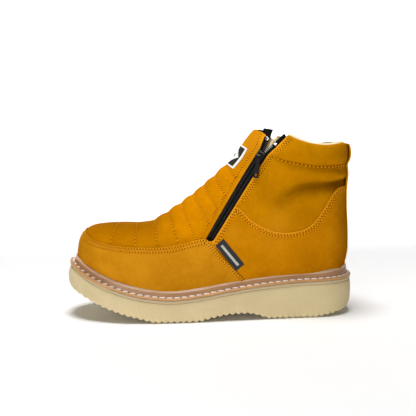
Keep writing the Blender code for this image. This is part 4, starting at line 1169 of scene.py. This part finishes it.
def padded_collar(patch, at_back):
    """The padded collar's swell over its pinched seam, less at the back, painted shade along the seam and the
    pinch, and the rise of its edge.
    """
    edge = upper(LAST_SECTION, patch.side, COLLAR_ARC)
    high = np.interp(patch.x, edge[::-1, 0], edge[::-1, 2])
    above = patch.z - collar_seam_z(patch.x)
    share = np.clip(above / np.maximum(high - collar_seam_z(patch.x), LEAST_COLLAR), 0.0, 1.0)
    weight = np.clip(behind_zip(patch.base) / PUFF_FADE, 0.0, 1.0)
    weight = weight * (at_back + (1 - at_back) * blend_in(np.abs(patch.y), BACKSTAY_HALF, PUFF_TURN))
    pinch = bell(above, PINCH_WIDE)
    patch.lift += weight * (COLLAR_PUFF * np.sin(math.pi * share) ** PUFF_ROUND - PINCH * pinch)
    # Painted shade along the collar's seam and its pinch.
    dark = COLLAR_DARK * bell(above, COLLAR_DARK_WIDE)
    patch.shade += weight * (dark + PINCH_DARK * np.where(above > 0, pinch, 0.0))
    part = 1.0 if patch.side == LATERAL else INNER_RISE_SHARE
    patch.rise += part * collar_rise(patch.x) * share**2


def ankle_fold(patch, amount=1.0):
    """The soft fold round the ankle under the collar, with the leather swelling above it and painted shade in
    the fold.
    """
    at, depth, wide = (smooth_curve([(r[0], r[k]) for r in ANKLE_CREASE])(patch.x) for k in (1, 2, 3))
    off = (patch.z - at) / wide
    trough = lopsided(off, *TROUGH_SIDES)
    swell = bell(off - SWELL_AT, SWELL_WIDE)
    at_side = amount * (FOLD_AT_BACK + (1 - FOLD_AT_BACK) * blend_in(np.abs(patch.y), *FOLD_TURN))
    patch.lift += depth * at_side * (SWELL * swell - trough)
    # Painted shade in the fold.
    near = lopsided(off, *FOLD_SHADE_SIDES)
    patch.shade += FOLD_SHADE * depth * amount * blend_in(np.abs(patch.y), *FOLD_SHADE_TURN) * near


SHAFT_COLUMNS, SHAFT_ROWS, SHAFT_TOP_ROWS, SHAFT_FOOT_BETWEEN = 92, 125, 50, (6.0, 14.0)
SHAFT_START_GAP, SHAFT_LOW_TO, SHAFT_TOP_FROM = 0.02, 19.5, 19.53
INNER_CORNER_DROP, INNER_CORNER_WIDE, INNER_CORNER_FROM = 0.35, (0.45, 0.95), 19.0
SHAFT_EDGE, SHAFT_EDGE_PALE, SHAFT_TOP_ROUND, SHAFT_ZIP_ROUND = 1.7, 0.8, 2.0, 1.0


def make_upper_rear():
    start = section_where(lambda n: behind_zip(upper(n, LATERAL, 0.0)), *SHAFT_FOOT_BETWEEN)
    low = np.linspace(start + SHAFT_START_GAP, SHAFT_LOW_TO, SHAFT_ROWS)
    rows = np.concatenate((low, np.linspace(SHAFT_TOP_FROM, LAST_SECTION, SHAFT_TOP_ROWS)))
    columns = eased(SHAFT_COLUMNS)[None, :]
    patches = {}
    for side in SIDES:
        numbers = np.repeat(rows[:, None], SHAFT_COLUMNS, 1)
        if side == MEDIAL:
            near_zip = blend_in(columns, *INNER_CORNER_WIDE)
            near_top = blend_in(rows, INNER_CORNER_FROM, LAST_SECTION)[:, None]
            numbers = numbers - INNER_CORNER_DROP * near_zip * near_top
        high = share_where(behind_zip, rows, side, False)
        patch = patches[side] = Patch(side, numbers, high[:, None] * columns)
        padded_collar(patch, COLLAR_AT_BACK)
        ankle_fold(patch)
        painted_shade_and_marks(patch)
        tucked(patch)
        folded_edge(patch, 1, 1, SHAFT_EDGE, SHAFT_EDGE_PALE)
        patch.round_edge(0, 1, SHAFT_TOP_ROUND)
        patch.round_edge(1, 1, SHAFT_ZIP_ROUND)
        make_collar_lining(patch)
    rear = leather_object("shaft_panel", patches.values(), [SHAFT, LINING], LINED_THICK, 1, 1)
    placed(rear, "upper")
    return patches


LINING_ROLL, LINING_SIDES, LINING_SINK, LINING_SET_IN = 1.6, 10, 0.7, 0.75
LINING_UP_ROW, LINING_END_FADE = -6, (-1, 6)
LINING_RISE = (  # x, how far the lining's roll stands above the leather's edge
    (68.0, 0.2),
    (78.0, 2.0),
    (92.0, 2.3),
    (102.0, 1.2),
    (120.0, 0.9),
    (129.0, 1.2),
    (137.0, 1.6),
    (147.0, 0.4),
)
lining_rise = smooth_curve(LINING_RISE)


def make_collar_lining(patch):
    """The lining's soft roll along the inside of the collar's edge."""
    edge, normal = patch.outer[-1], patch.normal[-1]
    up = edge - patch.outer[LINING_UP_ROW]
    up /= np.linalg.norm(up, axis=-1, keepdims=True)
    higher = (lining_rise(edge[:, 0]) if patch.side == LATERAL else np.zeros(len(edge))) - LINING_SINK
    middle = edge - normal * (LINED_THICK * LINING_SET_IN) + up * higher[:, None]
    from_zip = np.arange(len(edge))[::-1]
    radius = LINING_ROLL * blend_in(from_zip, *LINING_END_FADE)[:, None]
    angles = np.linspace(0, 2 * math.pi, LINING_SIDES + 1)
    rings = [middle + radius * (normal * math.cos(a) + up * math.sin(a)) for a in angles]
    roll = closed_object(f"collar_lining_{SIDE_NAME[patch.side]}", np.stack(rings, 1), [LINING])
    placed(roll)


def pairs(xz, side):
    """Rows of (section, share) of the points that one side shows at (x, z)."""
    return np.stack(located(xz, side), -1)


VAMP_SEAM_STEPS, VAMP_CAP_STEPS, VAMP_UP_STEPS = 131, 26, 96
VAMP_FOOT_X, VAMP_REAR_FOOT, VAMP_LAP, VAMP_LAP_FADE = 41.0, (40.0, 34.6), 0.7, 5.0
SEAM_SINK, SEAM_SINK_TOE, SEAM_SINK_WIDE, SEAM_TOE_FADE = 0.7, 0.4, 6.0, (-134.0, -112.0)
VAMP_ROUND, VAMP_SEAM_DROP = 0.9, 0.5


def above_moc_seam(points):
    return points[..., 2] - moc_seam_z(points[..., 0])


def make_vamp():
    patches = {}
    toe = section_where(lambda n: crown_z(n) - moc_seam_z(crown_x(n)), 1.0, 4.0)
    for side in SIDES:
        corner = pairs([VAMP_CORNER], side)[0]
        seam_numbers = toe + (corner[0] - toe) * np.linspace(0, 1, VAMP_SEAM_STEPS)[1:] ** 2
        seam = np.stack((seam_numbers, share_where(above_moc_seam, seam_numbers, side, True)), -1)
        cap = np.stack((np.linspace(0, toe, VAMP_CAP_STEPS), np.full(VAMP_CAP_STEPS, 2.0)), -1)
        high = np.concatenate((cap, seam))
        high[-1] = corner
        foot = section_where(lambda n: foot_x(n) - VAMP_FOOT_X)
        low = np.stack((high[:, 0] * foot / corner[0], np.zeros(len(high))), -1)
        right = pairs(resampled([VAMP_REAR_FOOT, VAMP_REAR_LOW, VAMP_CORNER], VAMP_UP_STEPS, True), side)
        right[0], right[-1] = low[-1], corner
        left = np.stack((np.zeros(VAMP_UP_STEPS), eased(VAMP_UP_STEPS, 0.0, 2.0)), -1)
        patch = patches[side] = Patch(side, *coons(low, high, left, right))
        patch.lift += OVERLAY_LIFT
        painted_shade_and_marks(patch)
        tucked(patch)
        patch.lift += VAMP_LAP * np.exp(-patch.from_edge(0, 1) / VAMP_LAP_FADE)
        from_seam = nearest(patch.base, patch.base[VAMP_CAP_STEPS - 1 :, -1])
        at_toe = 1 - blend_in(patch.x, *SEAM_TOE_FADE)
        patch.lift -= (SEAM_SINK + SEAM_SINK_TOE * at_toe) * bell(from_seam, SEAM_SINK_WIDE)
        patch.lift -= VAMP_SEAM_DROP * quarter_round(from_seam, VAMP_ROUND)
        patch.round_edge(0, 1, VAMP_ROUND)
    vamp = leather_object("vamp_leather", patches.values(), [VAMP], OVERLAY_THICK)
    placed(vamp, "vamp")
    return patches


QUARTER_TURN, QUARTER_TURN_POWER, QUARTER_FOOT, QUARTER_STEPS = 118.0, 1.3, (33.0, 33.4), 84
QUARTER_LIFT, QUARTER_UNDER, QUARTER_UNDER_FADE, QUARTER_ROUND = 1.4, 0.2, (3.0, 7.0), 0.9
QUARTER_EDGE, QUARTER_EDGE_PALE, QUARTER_EDGE_STEPS, QUARTER_BACK_STEPS = 1.5, 0.9, 190, 17
QUARTER_ZIP_RUN, QUARTER_ZIP_GAP, QUARTER_CORNER = np.linspace(-8.0, 30.0, 30), 0.3, 2.2
QUARTER_SEAM_LEAD, QUARTER_SEAM_STEPS = 1.0, 90


def quarter_edge():
    """Side-view line of the quarter's upper edge: beside the zip, then along the curved seam."""
    zip_edge = zip_point(QUARTER_ZIP_RUN, zip_half_slot(QUARTER_ZIP_RUN) + QUARTER_ZIP_GAP)
    zip_edge = zip_edge[zip_edge[:, 1] < quarter_seam_z(QUARTER_SEAM[0][0]) - QUARTER_CORNER]
    seam_x = np.linspace(QUARTER_SEAM[0][0] - QUARTER_SEAM_LEAD, QUARTER_SEAM[-1][0], QUARTER_SEAM_STEPS)
    return np.concatenate((zip_edge, np.stack((seam_x, quarter_seam_z(seam_x)), -1)))


def make_quarters():
    foot_at = QUARTER_FOOT[0]
    for side in SIDES:
        edge_line = quarter_edge()
        edge = pairs(resampled(edge_line, QUARTER_EDGE_STEPS), side)
        back = np.array((section_where(lambda n: back_z(n) - QUARTER_BACK_Z, HEEL_SECTION), 0.0))
        round_back = edge[-1] + (back - edge[-1]) * np.linspace(0, 1, QUARTER_BACK_STEPS)[1:, None]
        high = np.concatenate((edge, round_back))
        across = upper(edge[:, 0], side, edge[:, 1])[:, 0]
        part = (across - across[0]) / (QUARTER_TURN - across[0])
        part = part[part < 1.0] ** QUARTER_TURN_POWER
        feet = foot_at + (SECTIONS[HEEL_SECTION][2] - foot_at) * part
        low = [section_where(lambda n: foot_x(n) - x, 8.0, HEEL_SECTION) for x in feet]
        low = np.concatenate((low, np.linspace(low[-1], back[0], len(high) - len(low) + 1)[1:]))
        low[0] = section_where(lambda n: foot_x(n) - foot_at)
        low = np.stack((low, np.zeros(len(low))), -1)
        left = pairs(resampled([QUARTER_FOOT, edge_line[0]], QUARTER_STEPS, True), side)
        left[0], left[-1] = low[0], high[0]
        right = np.repeat(back[None], QUARTER_STEPS, 0)
        patch = Patch(side, *coons(low, high, left, right))
        out_of_lap = blend_in(patch.from_edge(0, 0), *QUARTER_UNDER_FADE)
        patch.lift += QUARTER_UNDER + (QUARTER_LIFT - QUARTER_UNDER) * out_of_lap
        patch.round_edge(1, 1, QUARTER_ROUND)
        painted_shade_and_marks(patch)
        tucked(patch)
        folded_edge(patch, 1, 1, QUARTER_EDGE, QUARTER_EDGE_PALE)
        name = SIDE_NAME[side]
        quarter = leather_object(f"quarter_leather_{name}", [patch], [QUARTER, EDGE], OVERLAY_THICK, 0, 1)
        placed(quarter, f"quarter_{name}")


STRIP_FROM, STRIP_ROWS, STRIP_COLUMNS, STRIP_THICK, STRIP_SHADE = HEEL_SECTION + 0.25, 160, 24, 1.7, 0.3
STRIP_COLLAR, STRIP_FOLD, STRIP_SIDE_ROUND, STRIP_TOP_ROUND = 0.6, 0.1, 1.2, 2.0
STRIP_ARC = np.linspace(0, 0.9, 400)


def make_backstay():
    """The strip down the back seam, following the collar's swell and the fold under it."""
    numbers = np.linspace(STRIP_FROM, LAST_SECTION, STRIP_ROWS)
    widths = eased(STRIP_COLUMNS, 0.0, BACKSTAY_HALF)
    patches = []
    for side in SIDES:
        across = [np.abs(upper(np.full(len(STRIP_ARC), n), side, STRIP_ARC)[:, 1]) for n in numbers]
        share = np.array([np.interp(widths, row, STRIP_ARC) for row in across])
        patch = Patch(side, np.repeat(numbers[:, None], STRIP_COLUMNS, 1), share)
        padded_collar(patch, STRIP_COLLAR)
        ankle_fold(patch, STRIP_FOLD)
        tucked(patch)
        patch.lift += BACKSTAY_LIFT
        patch.shade *= STRIP_SHADE
        patch.round_edge(1, 1, STRIP_SIDE_ROUND)
        patch.round_edge(0, 1, STRIP_TOP_ROUND)
        patches.append(patch)
    strip = leather_object("backstay_leather", patches, [LIT_STRIP, SHADOW_EDGE], STRIP_THICK, 0, 1)
    placed(strip, "backstay")


MOC_ROWS, VAMP_ROWS, QUARTER_ROWS, ZIP_ROWS, FRONT_ROW = (1.7, 5.4), (1.5, 3.7), (2.2, 4.5), (3.0, 5.4), 5.4
MOC_PITCH, VAMP_PITCH, QUARTER_PITCH, ZIP_PITCH, COLLAR_PITCH = 3.0, 2.8, 3.3, 2.9, 4.2
QUILT_RAISE, COLLAR_RAISE, MOC_RAISE = 0.25, 0.8, 0.3
QUILT_PITCH, PLUG_PITCH, PLUG_SEAMS = 2.9, 4.4, 4
SEAM_STITCH, QUILT_STITCH, COLLAR_STITCH = (1.6, 1.3, 1.0, 1.4), (1.8, 1.2, 1.1, 1.2), (2.4, 1.5, 1.2, 1.5)
ROW_STEPS, VAMP_ROW_FROM, ROW_TOP_GAP, ZIP_ROW_FROM_Z = 240, 8, 2.5, 121.0
FRONT_ROW_FROM_Z, FRONT_ROW_FROM_X, COLLAR_ROW_GAP, COLLAR_ROW_BACK = 92.0, -8.0, 8.0, 0.5
QUILT_ROW_STEPS, QUILT_ROW_ZIP_GAP, QUILT_ROW_EDGE, QUILT_ROW_PAST = 160, 5.0, 0.5, 0.3


def below_seam(patch, inset):
    """Points and normals of the vamp's leather at a distance below its upper seam."""
    edge, normal = (resampled(grid[VAMP_CAP_STEPS:, -1], ROW_STEPS) for grid in (patch.outer, patch.normal))
    inward = -patch.side * np.cross(np.gradient(edge, axis=0), normal)
    moved = edge + inset * inward / np.linalg.norm(inward, axis=-1, keepdims=True)
    outer, normals = patch.outer.reshape(-1, 3), patch.normal.reshape(-1, 3)
    close = [int(((outer - point) ** 2).sum(1).argmin()) for point in moved]
    off = np.einsum("ij,ij->i", moved - outer[close], normals[close])
    return moved - off[:, None] * normals[close], normals[close]


def quarter_rows(side):
    """Two rows of stitches inside the quarter's edge, beside the zip and along the curved seam."""
    rows = []
    line = resampled(quarter_edge(), ROW_STEPS)
    way = np.gradient(line, axis=0)
    inward = np.stack((way[:, 1], -way[:, 0]), -1) / np.linalg.norm(way, axis=1, keepdims=True)
    for inset in QUARTER_ROWS:
        moved = line + inward * inset
        ahead = np.einsum("ij,ij->i", np.diff(moved, axis=0), np.diff(line, axis=0)) > 0
        moved = moved[1:][ahead]
        moved = moved[moved[:, 0] > zip_point(0.0, HALF_SLOT)[0]]
        rows.append((*on_upper(moved, side, QUARTER_LIFT), QUARTER_PITCH))
    return rows


def collar_seam_line(shaft):
    """Points and normals of the shaft's leather along the collar's seam, from the zip to the back strip."""
    points, normals = [], []
    above = shaft.base[..., 2] - collar_seam_z(shaft.base[..., 0])
    for column in range(above.shape[1] - 1, -1, -1):
        crossed = np.nonzero((above[:-1, column] < 0) & (above[1:, column] >= 0))[0]
        if len(crossed) == 0 or abs(shaft.y[crossed[0], column]) < BACKSTAY_HALF + COLLAR_ROW_BACK:
            continue
        low = crossed[0]
        part = above[low, column] / (above[low, column] - above[low + 1, column])
        outer = shaft.outer[low : low + 2, column]
        points.append(outer[0] + part * (outer[1] - outer[0]))
        normals.append(shaft.normal[low, column])
    points, normals = np.array(points), np.array(normals)
    keep = behind_zip(points) > COLLAR_ROW_GAP
    return points[keep], normals[keep]


def make_stitching(front, rear, vamp):
    seams, quilting, collar = [], [], []
    for side in SIDES:
        for inset in MOC_ROWS:
            points, normals = (rows[1:-2] for rows in below_seam(vamp[side], inset))
            seams.append((points + normals * MOC_RAISE, normals, MOC_PITCH))
        for inset in VAMP_ROWS:
            points, normals = vamp[side].line(0, 1, inset)
            seams.append((points[VAMP_ROW_FROM:], normals[VAMP_ROW_FROM:], VAMP_PITCH))
        seams += quarter_rows(side)
        for inset in ZIP_ROWS:
            points, normals = rear[side].line(1, 1, inset)
            keep = (points[:, 2] > ZIP_ROW_FROM_Z) & (points[:, 2] < points[-1, 2] - ROW_TOP_GAP)
            seams.append((points[keep], normals[keep], ZIP_PITCH))
        points, normals = front[side].line(1, 0, FRONT_ROW)
        keep = (points[:, 2] > FRONT_ROW_FROM_Z) & (points[:, 2] < points[-1, 2] - ROW_TOP_GAP)
        keep &= points[:, 0] > FRONT_ROW_FROM_X
        seams.append((points[keep], normals[keep], ZIP_PITCH))
        for i, (crown, end, share) in enumerate(quilt_lines(side)):
            shares = np.linspace(2.0, share - QUILT_ROW_PAST, QUILT_ROW_STEPS)
            numbers = crown + (end - crown) * (2.0 - shares) / (2.0 - share)
            points, normals = upper_frame(numbers, side, shares)
            depth = np.minimum(ahead_of_zip(points) - QUILT_ROW_ZIP_GAP, above_moc_seam(points))
            keep = depth > QUILT_ROW_EDGE
            pitch = PLUG_PITCH if i < PLUG_SEAMS else QUILT_PITCH
            quilting.append(((points + normals * QUILT_RAISE)[keep], normals[keep], pitch))
        points, normals = collar_seam_line(rear[side])
        collar.append((points + normals * COLLAR_RAISE, normals, COLLAR_PITCH))
    for name, rows, sizes, stagger in (
        ("seam_stitches", seams, SEAM_STITCH, 0.5),
        ("quilting_stitches", quilting, QUILT_STITCH, 0.0),
        ("collar_stitches", collar, COLLAR_STITCH, 0.0),
    ):
        obj = stitched(name, rows, stitch_template(*sizes), [PLAIN_THREAD, HOLE_SHADE], stagger)
        placed(obj)


# Zips
TAPE_DEPTH, TAPE_THICK, TAPE_COVERED, TAPE_SLANT, TAPE_FROM = 1.4, 0.8, 4.0, 3.4, -6.0
TAPE_PAST = {("front", LATERAL): 1.6, ("front", MEDIAL): -1.5, ("rear", LATERAL): 4.0, ("rear", MEDIAL): -3.0}
TAPE_STEPS, TAPE_COLUMNS, TAPE_END_STEPS, TAPE_END_FROM, TAPE_LEAST_END = 70, 8, 6, 0.15, 0.5
ON_UPPER_TO, TEETH_TO, STOPS_AT = ZIP_LENGTH - 5.0, ZIP_LENGTH - 11.0, ZIP_LENGTH - 9.5
TEETH = (  # piece, sides of the zip, start, end, pitch, distance from the middle, length, width, material
    ("coil", (-1, 1), 0.5, ZIP_STRAIGHT, 1.5, 1.9, 1.2, 4.4, COIL),
    ("front_teeth", (-1,), ZIP_STRAIGHT, TEETH_TO, 1.8, 0.9, 0.8, 2.8, FRONT_TEETH_HIGHLIGHT),
    ("rear_teeth", (1,), ZIP_STRAIGHT, TEETH_TO, 1.8, 0.9, 0.8, 2.8, REAR_TEETH_HIGHLIGHT),
)
TOOTH_HEIGHT, TOOTH_RAISE = 1.4, 0.6
STOP_SIZE, STOP_ROUND, STOP_OUT, STOP_RAISE = (3.2, 3.6, 2.2), 0.6, 1.6, 1.0


def zip_gap(run):
    """Half the gap between the two rows of teeth at a run along the zip."""
    return np.interp(run, (ZIP_STRAIGHT, ZIP_LENGTH), (0.0, HALF_SLOT_AT_TOP - HALF_SLOT_AT_FORK))


def make_tape(side, which, way):
    run = np.linspace(TAPE_FROM, ON_UPPER_TO, TAPE_STEPS)
    offsets = np.linspace(0.0, HALF_SLOT_AT_FORK + TAPE_COVERED, TAPE_COLUMNS)
    across = way * (zip_gap(run)[:, None] + offsets[None, :])
    points, normals = on_upper(zip_point(run[:, None], across), side, -TAPE_DEPTH)
    onward = (points[-1] - points[-4]) / 3 / (run[-1] - run[-2])
    reach = ZIP_LENGTH - ON_UPPER_TO + TAPE_PAST[which, side] - TAPE_SLANT * offsets / offsets[-1]
    more = np.linspace(TAPE_END_FROM, 1.0, TAPE_END_STEPS)[:, None] * np.maximum(reach, TAPE_LEAST_END)
    points = np.concatenate((points, points[-1] + more[..., None] * onward))
    normals = np.concatenate((normals, np.repeat(normals[-1:], TAPE_END_STEPS, 0)))
    bm = bmesh.new()
    add_grid(bm, points, outward=normals)
    name = f"{which}_{SIDE_NAME[side]}"
    tape = new_object(f"tape_{name}", bm, [TAPE, LINING])
    thicken(tape, TAPE_THICK, 1 if which == "rear" else 0)
    placed(tape, f"zip_tape_{name}")


def make_zip(side):
    name = SIDE_NAME[side]
    for which, way in (("front", -1), ("rear", 1)):
        make_tape(side, which, way)
    for piece, ways, start, end, pitch, out, length, wide, material in TEETH:
        path = np.arange(start, end, pitch / 2)
        lines = [zip_point(path, way * (zip_gap(path) + out)) for way in ways]
        rows = [(*on_upper(line, side, TOOTH_RAISE - TAPE_DEPTH), pitch) for line in lines]
        coil = stitched(f"{piece}_{name}", rows, stitch_template(length, wide, TOOTH_HEIGHT), [material], 0.5)
        placed(coil, f"zip_coil_{name}")
    bm = bmesh.new()
    for way in (-1, 1):
        at = zip_point(STOPS_AT, way * (zip_gap(STOPS_AT) + STOP_OUT))
        points, normals = on_upper(at[None], side, STOP_RAISE - TAPE_DEPTH)
        made = bmesh.ops.create_cube(bm, size=1.0)["verts"]
        bmesh.ops.scale(bm, vec=STOP_SIZE, verts=made)
        edges = list({e for v in made for e in v.link_edges})
        made = bmesh.ops.bevel(
            bm, geom=edges, offset=STOP_ROUND, segments=3, affect="EDGES", profile=0.5, material=-1
        )
        matrix = standing(points[0], (ZIP_ALONG[0], 0, ZIP_ALONG[1]), normals[0])
        bmesh.ops.transform(bm, matrix=matrix, verts=list({v for f in made["faces"] for v in f.verts}))
    placed(new_object(f"zip_stops_{name}", bm, [BRIGHT_METAL]))
    for node in (f"zip_slider_{name}", f"zip_pull_{name}"):
        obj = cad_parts[node]
        obj.data.materials.clear()
        obj.data.materials.append(BLACK_METAL)


# Labels
PATCH_FOOT, PATCH_TOP, PATCH_HALF, PATCH_BORDER = np.array((18.0, 158.8)), np.array((33.2, 180.0)), 15.0, 1.8
PATCH_LENGTH = float(np.linalg.norm(PATCH_TOP - PATCH_FOOT))
PATCH_ROWS, PATCH_COLUMNS, PATCH_SINK, PATCH_LIFT, CLOTH_THICK = 61, 37, 0.7, 0.5, 0.7
PATCH_SECTIONS, PATCH_SHARES = np.linspace(11.0, 19.5, 240), np.linspace(1.2, 2.0, 300)
LOZENGE_INNER, LOZENGE_OUTER = 0.3, 0.8
LABEL_MIDDLE, LABEL_LENGTH, LABEL_WIDTH, LABEL_TURN = np.array((16.2, 68.7)), 34.0, 11.0, math.radians(50.6)
LABEL_LIFT, STRIPE_HALF, STRIPE_MARGIN, LABEL_ROWS, LABEL_COLUMNS = 2.2, 1.3, 3.4, 120, 40
HEM_HEIGHT, HEM_AT, HEM_WIDE, HEM_DROP, HEM_DROP_WIDE = 0.25, 0.9, 0.5, 0.3, 0.25


def make_tongue_patch():
    """Bare woven patch on the tongue: white border, black middle and a plain white lozenge."""
    way = (PATCH_TOP - PATCH_FOOT) / PATCH_LENGTH
    runs = np.linspace(0.0, PATCH_LENGTH, PATCH_ROWS)
    bm = bmesh.new()
    for side in SIDES:
        number, share = np.zeros((2, PATCH_ROWS, PATCH_COLUMNS))
        whole = upper(PATCH_SECTIONS[:, None], side, PATCH_SHARES[None, :])
        for k, across in enumerate(np.linspace(0.0, PATCH_HALF, PATCH_COLUMNS)):
            at = np.array([np.interp(across, np.abs(row[::-1, 1]), PATCH_SHARES[::-1]) for row in whole])
            run = (upper(PATCH_SECTIONS, side, at)[:, (0, 2)] - PATCH_FOOT) @ way
            number[:, k] = np.interp(runs, run, PATCH_SECTIONS)
            share[:, k] = np.interp(number[:, k], PATCH_SECTIONS, at)
        patch = Patch(side, number, share)
        quilted(patch)
        patch.lift = patch.lift * PATCH_SINK + PATCH_LIFT
        add_grid(bm, patch.outer, None, patch.normal)
    bmesh.ops.remove_doubles(bm, verts=bm.verts, dist=WELD)
    for face in bm.faces:
        middle = face.calc_center_median()
        run = (np.array((middle.x, middle.z)) - PATCH_FOOT) @ way
        inside = min(run, PATCH_LENGTH - run, PATCH_HALF - abs(middle.y))
        lozenge = abs(run / PATCH_LENGTH - 0.5) * 2 + abs(middle.y) / PATCH_HALF
        dark = lozenge > LOZENGE_OUTER or lozenge < LOZENGE_INNER
        face.material_index = 1 if inside > PATCH_BORDER and dark else 0
    obj = new_object("tongue_patch_cloth", bm, [PATCH_WHITE, PATCH_BLACK])
    thicken(obj, CLOTH_THICK)
    placed(obj, "tongue_patch")


def make_side_label():
    """Plain woven label on the quarter, with a raised border and a plain stripe."""
    way = np.array((math.cos(LABEL_TURN), -math.sin(LABEL_TURN)))
    across = np.array((way[1], -way[0]))
    u = np.linspace(-0.5, 0.5, LABEL_ROWS) * LABEL_LENGTH
    v = np.linspace(-0.5, 0.5, LABEL_COLUMNS) * LABEL_WIDTH
    xz = LABEL_MIDDLE + u[:, None, None] * way + v[None, :, None] * across
    points, normals = on_upper(xz, LATERAL, LABEL_LIFT)
    inside = np.minimum(LABEL_LENGTH / 2 - np.abs(u)[:, None], LABEL_WIDTH / 2 - np.abs(v)[None, :])
    hem = HEM_HEIGHT * bell(inside - HEM_AT, HEM_WIDE) - HEM_DROP * np.exp(-inside / HEM_DROP_WIDE)
    bm = bmesh.new()
    add_grid(bm, points + normals * hem[..., None], outward=normals)
    for face in bm.faces:
        middle = face.calc_center_median()
        off = np.array((middle.x, middle.z)) - LABEL_MIDDLE
        if abs(off @ way) < LABEL_LENGTH / 2 - STRIPE_MARGIN and abs(off @ across) < STRIPE_HALF:
            face.material_index = 1
    obj = new_object("side_label_cloth", bm, [LABEL, LABEL_STRIPE])
    thicken(obj, CLOTH_THICK)
    placed(obj, "side_label")


# Stage, in metres
CAMERA_AT, CAMERA_TURN, CAMERA_LENS = (-0.0736, -0.8972, 0.23), (82.56, 0.0, -4.5), 72.95
CAMERA_SENSOR, CAMERA_REACH, SKY_STRENGTH = 36.0, 50.0, 0.06
LAMPS = (  # name, place, aim, size, watts
    ("top light", (-0.1, -0.1, 2.4), (0.0, 0.0, 0.05), 1.0, 54.5),
    ("front light", (-0.75, -1.66, 0.24), (0.0, 0.0, 0.1), 0.6, 13.0),
    ("backdrop light", (0.0, 0.8, 1.3), (0.0, 2.2, 0.8), 1.2, 40.0),
)
BEAM_FROM, BEAM_TO, BEAM_WATTS = (-0.08, -0.9, 0.3), (0.061, -0.028, 0.186), 40.0
BEAM_ANGLE, BEAM_BLEND, BEAM_SIZE = math.radians(1.1), 0.6, 0.01
FLOOR_HALF, FLOOR_FRONT, FLOOR_BACK, SWEEP = 6.0, -2.2, 1.2, 1.0
FLOOR_LIGHT, FLOOR_DARK = (250, 250, 250), (247, 247, 247)


def stood(name, data, place, turn):
    """Links a lamp or camera at a place, turned."""
    obj = bpy.data.objects.new(name, data)
    obj.location = place
    obj.rotation_euler = turn
    bpy.context.scene.collection.objects.link(obj)
    return obj


def facing(place, aim):
    return (Vector(aim) - Vector(place)).to_track_quat("-Z", "Y").to_euler()


def make_stage():
    """A pale sweep of floor and backdrop, soft light from above and the photo's camera."""
    profile = [(FLOOR_FRONT, 0.0), (FLOOR_BACK, 0.0)]
    for angle in np.linspace(0.1, math.pi / 2, 16):
        profile.append((FLOOR_BACK + SWEEP * math.sin(angle), SWEEP - SWEEP * math.cos(angle)))
    points = np.array([[(x, y, z) for x in (-FLOOR_HALF, FLOOR_HALF)] for y, z in profile])
    bm = bmesh.new()
    add_grid(bm, points / MM)
    bmesh.ops.recalc_face_normals(bm, faces=bm.faces)
    g = Graph("pale floor", Specular_IOR_Level=0.0)
    tone = g.noise(3.0, 1.0)
    g.finish(Base_Color=g.mix(tone, FLOOR_LIGHT, FLOOR_DARK), Roughness=tone * 0.1 + 0.85)
    floor = new_object("floor", bm, [g.material])

    world = bpy.data.worlds.new("studio")
    world.use_nodes = True
    sky = world.node_tree.nodes["Background"]
    sky.inputs["Color"].default_value = (1.0, 1.0, 1.0, 1.0)
    sky.inputs["Strength"].default_value = SKY_STRENGTH
    bpy.context.scene.world = world
    for name, place, aim, size, watts in LAMPS:
        lamp = bpy.data.lights.new(name, "AREA")
        lamp.shape = "DISK"
        lamp.size = size
        lamp.energy = watts
        stood(name, lamp, place, facing(place, aim))
    beam = bpy.data.lights.new("opening light", "SPOT")
    beam.energy = BEAM_WATTS
    beam.spot_size = BEAM_ANGLE
    beam.spot_blend = BEAM_BLEND
    beam.shadow_soft_size = BEAM_SIZE
    stood("opening light", beam, BEAM_FROM, facing(BEAM_FROM, BEAM_TO))

    camera = bpy.data.cameras.new("camera")
    camera.lens = CAMERA_LENS
    camera.sensor_width = CAMERA_SENSOR
    camera.clip_end = CAMERA_REACH
    turn = [math.radians(angle) for angle in CAMERA_TURN]
    bpy.context.scene.camera = stood("camera", camera, CAMERA_AT, turn)
    bpy.context.scene.view_settings.view_transform = "Standard"


make_outsole()
make_midsole()
make_welt()
make_insole()
front_patches = make_upper_front()
rear_patches = make_upper_rear()
vamp_patches = make_vamp()
make_quarters()
make_backstay()
make_stitching(front_patches, rear_patches, vamp_patches)
for zip_side in SIDES:
    make_zip(zip_side)
make_tongue_patch()
make_side_label()
make_stage()
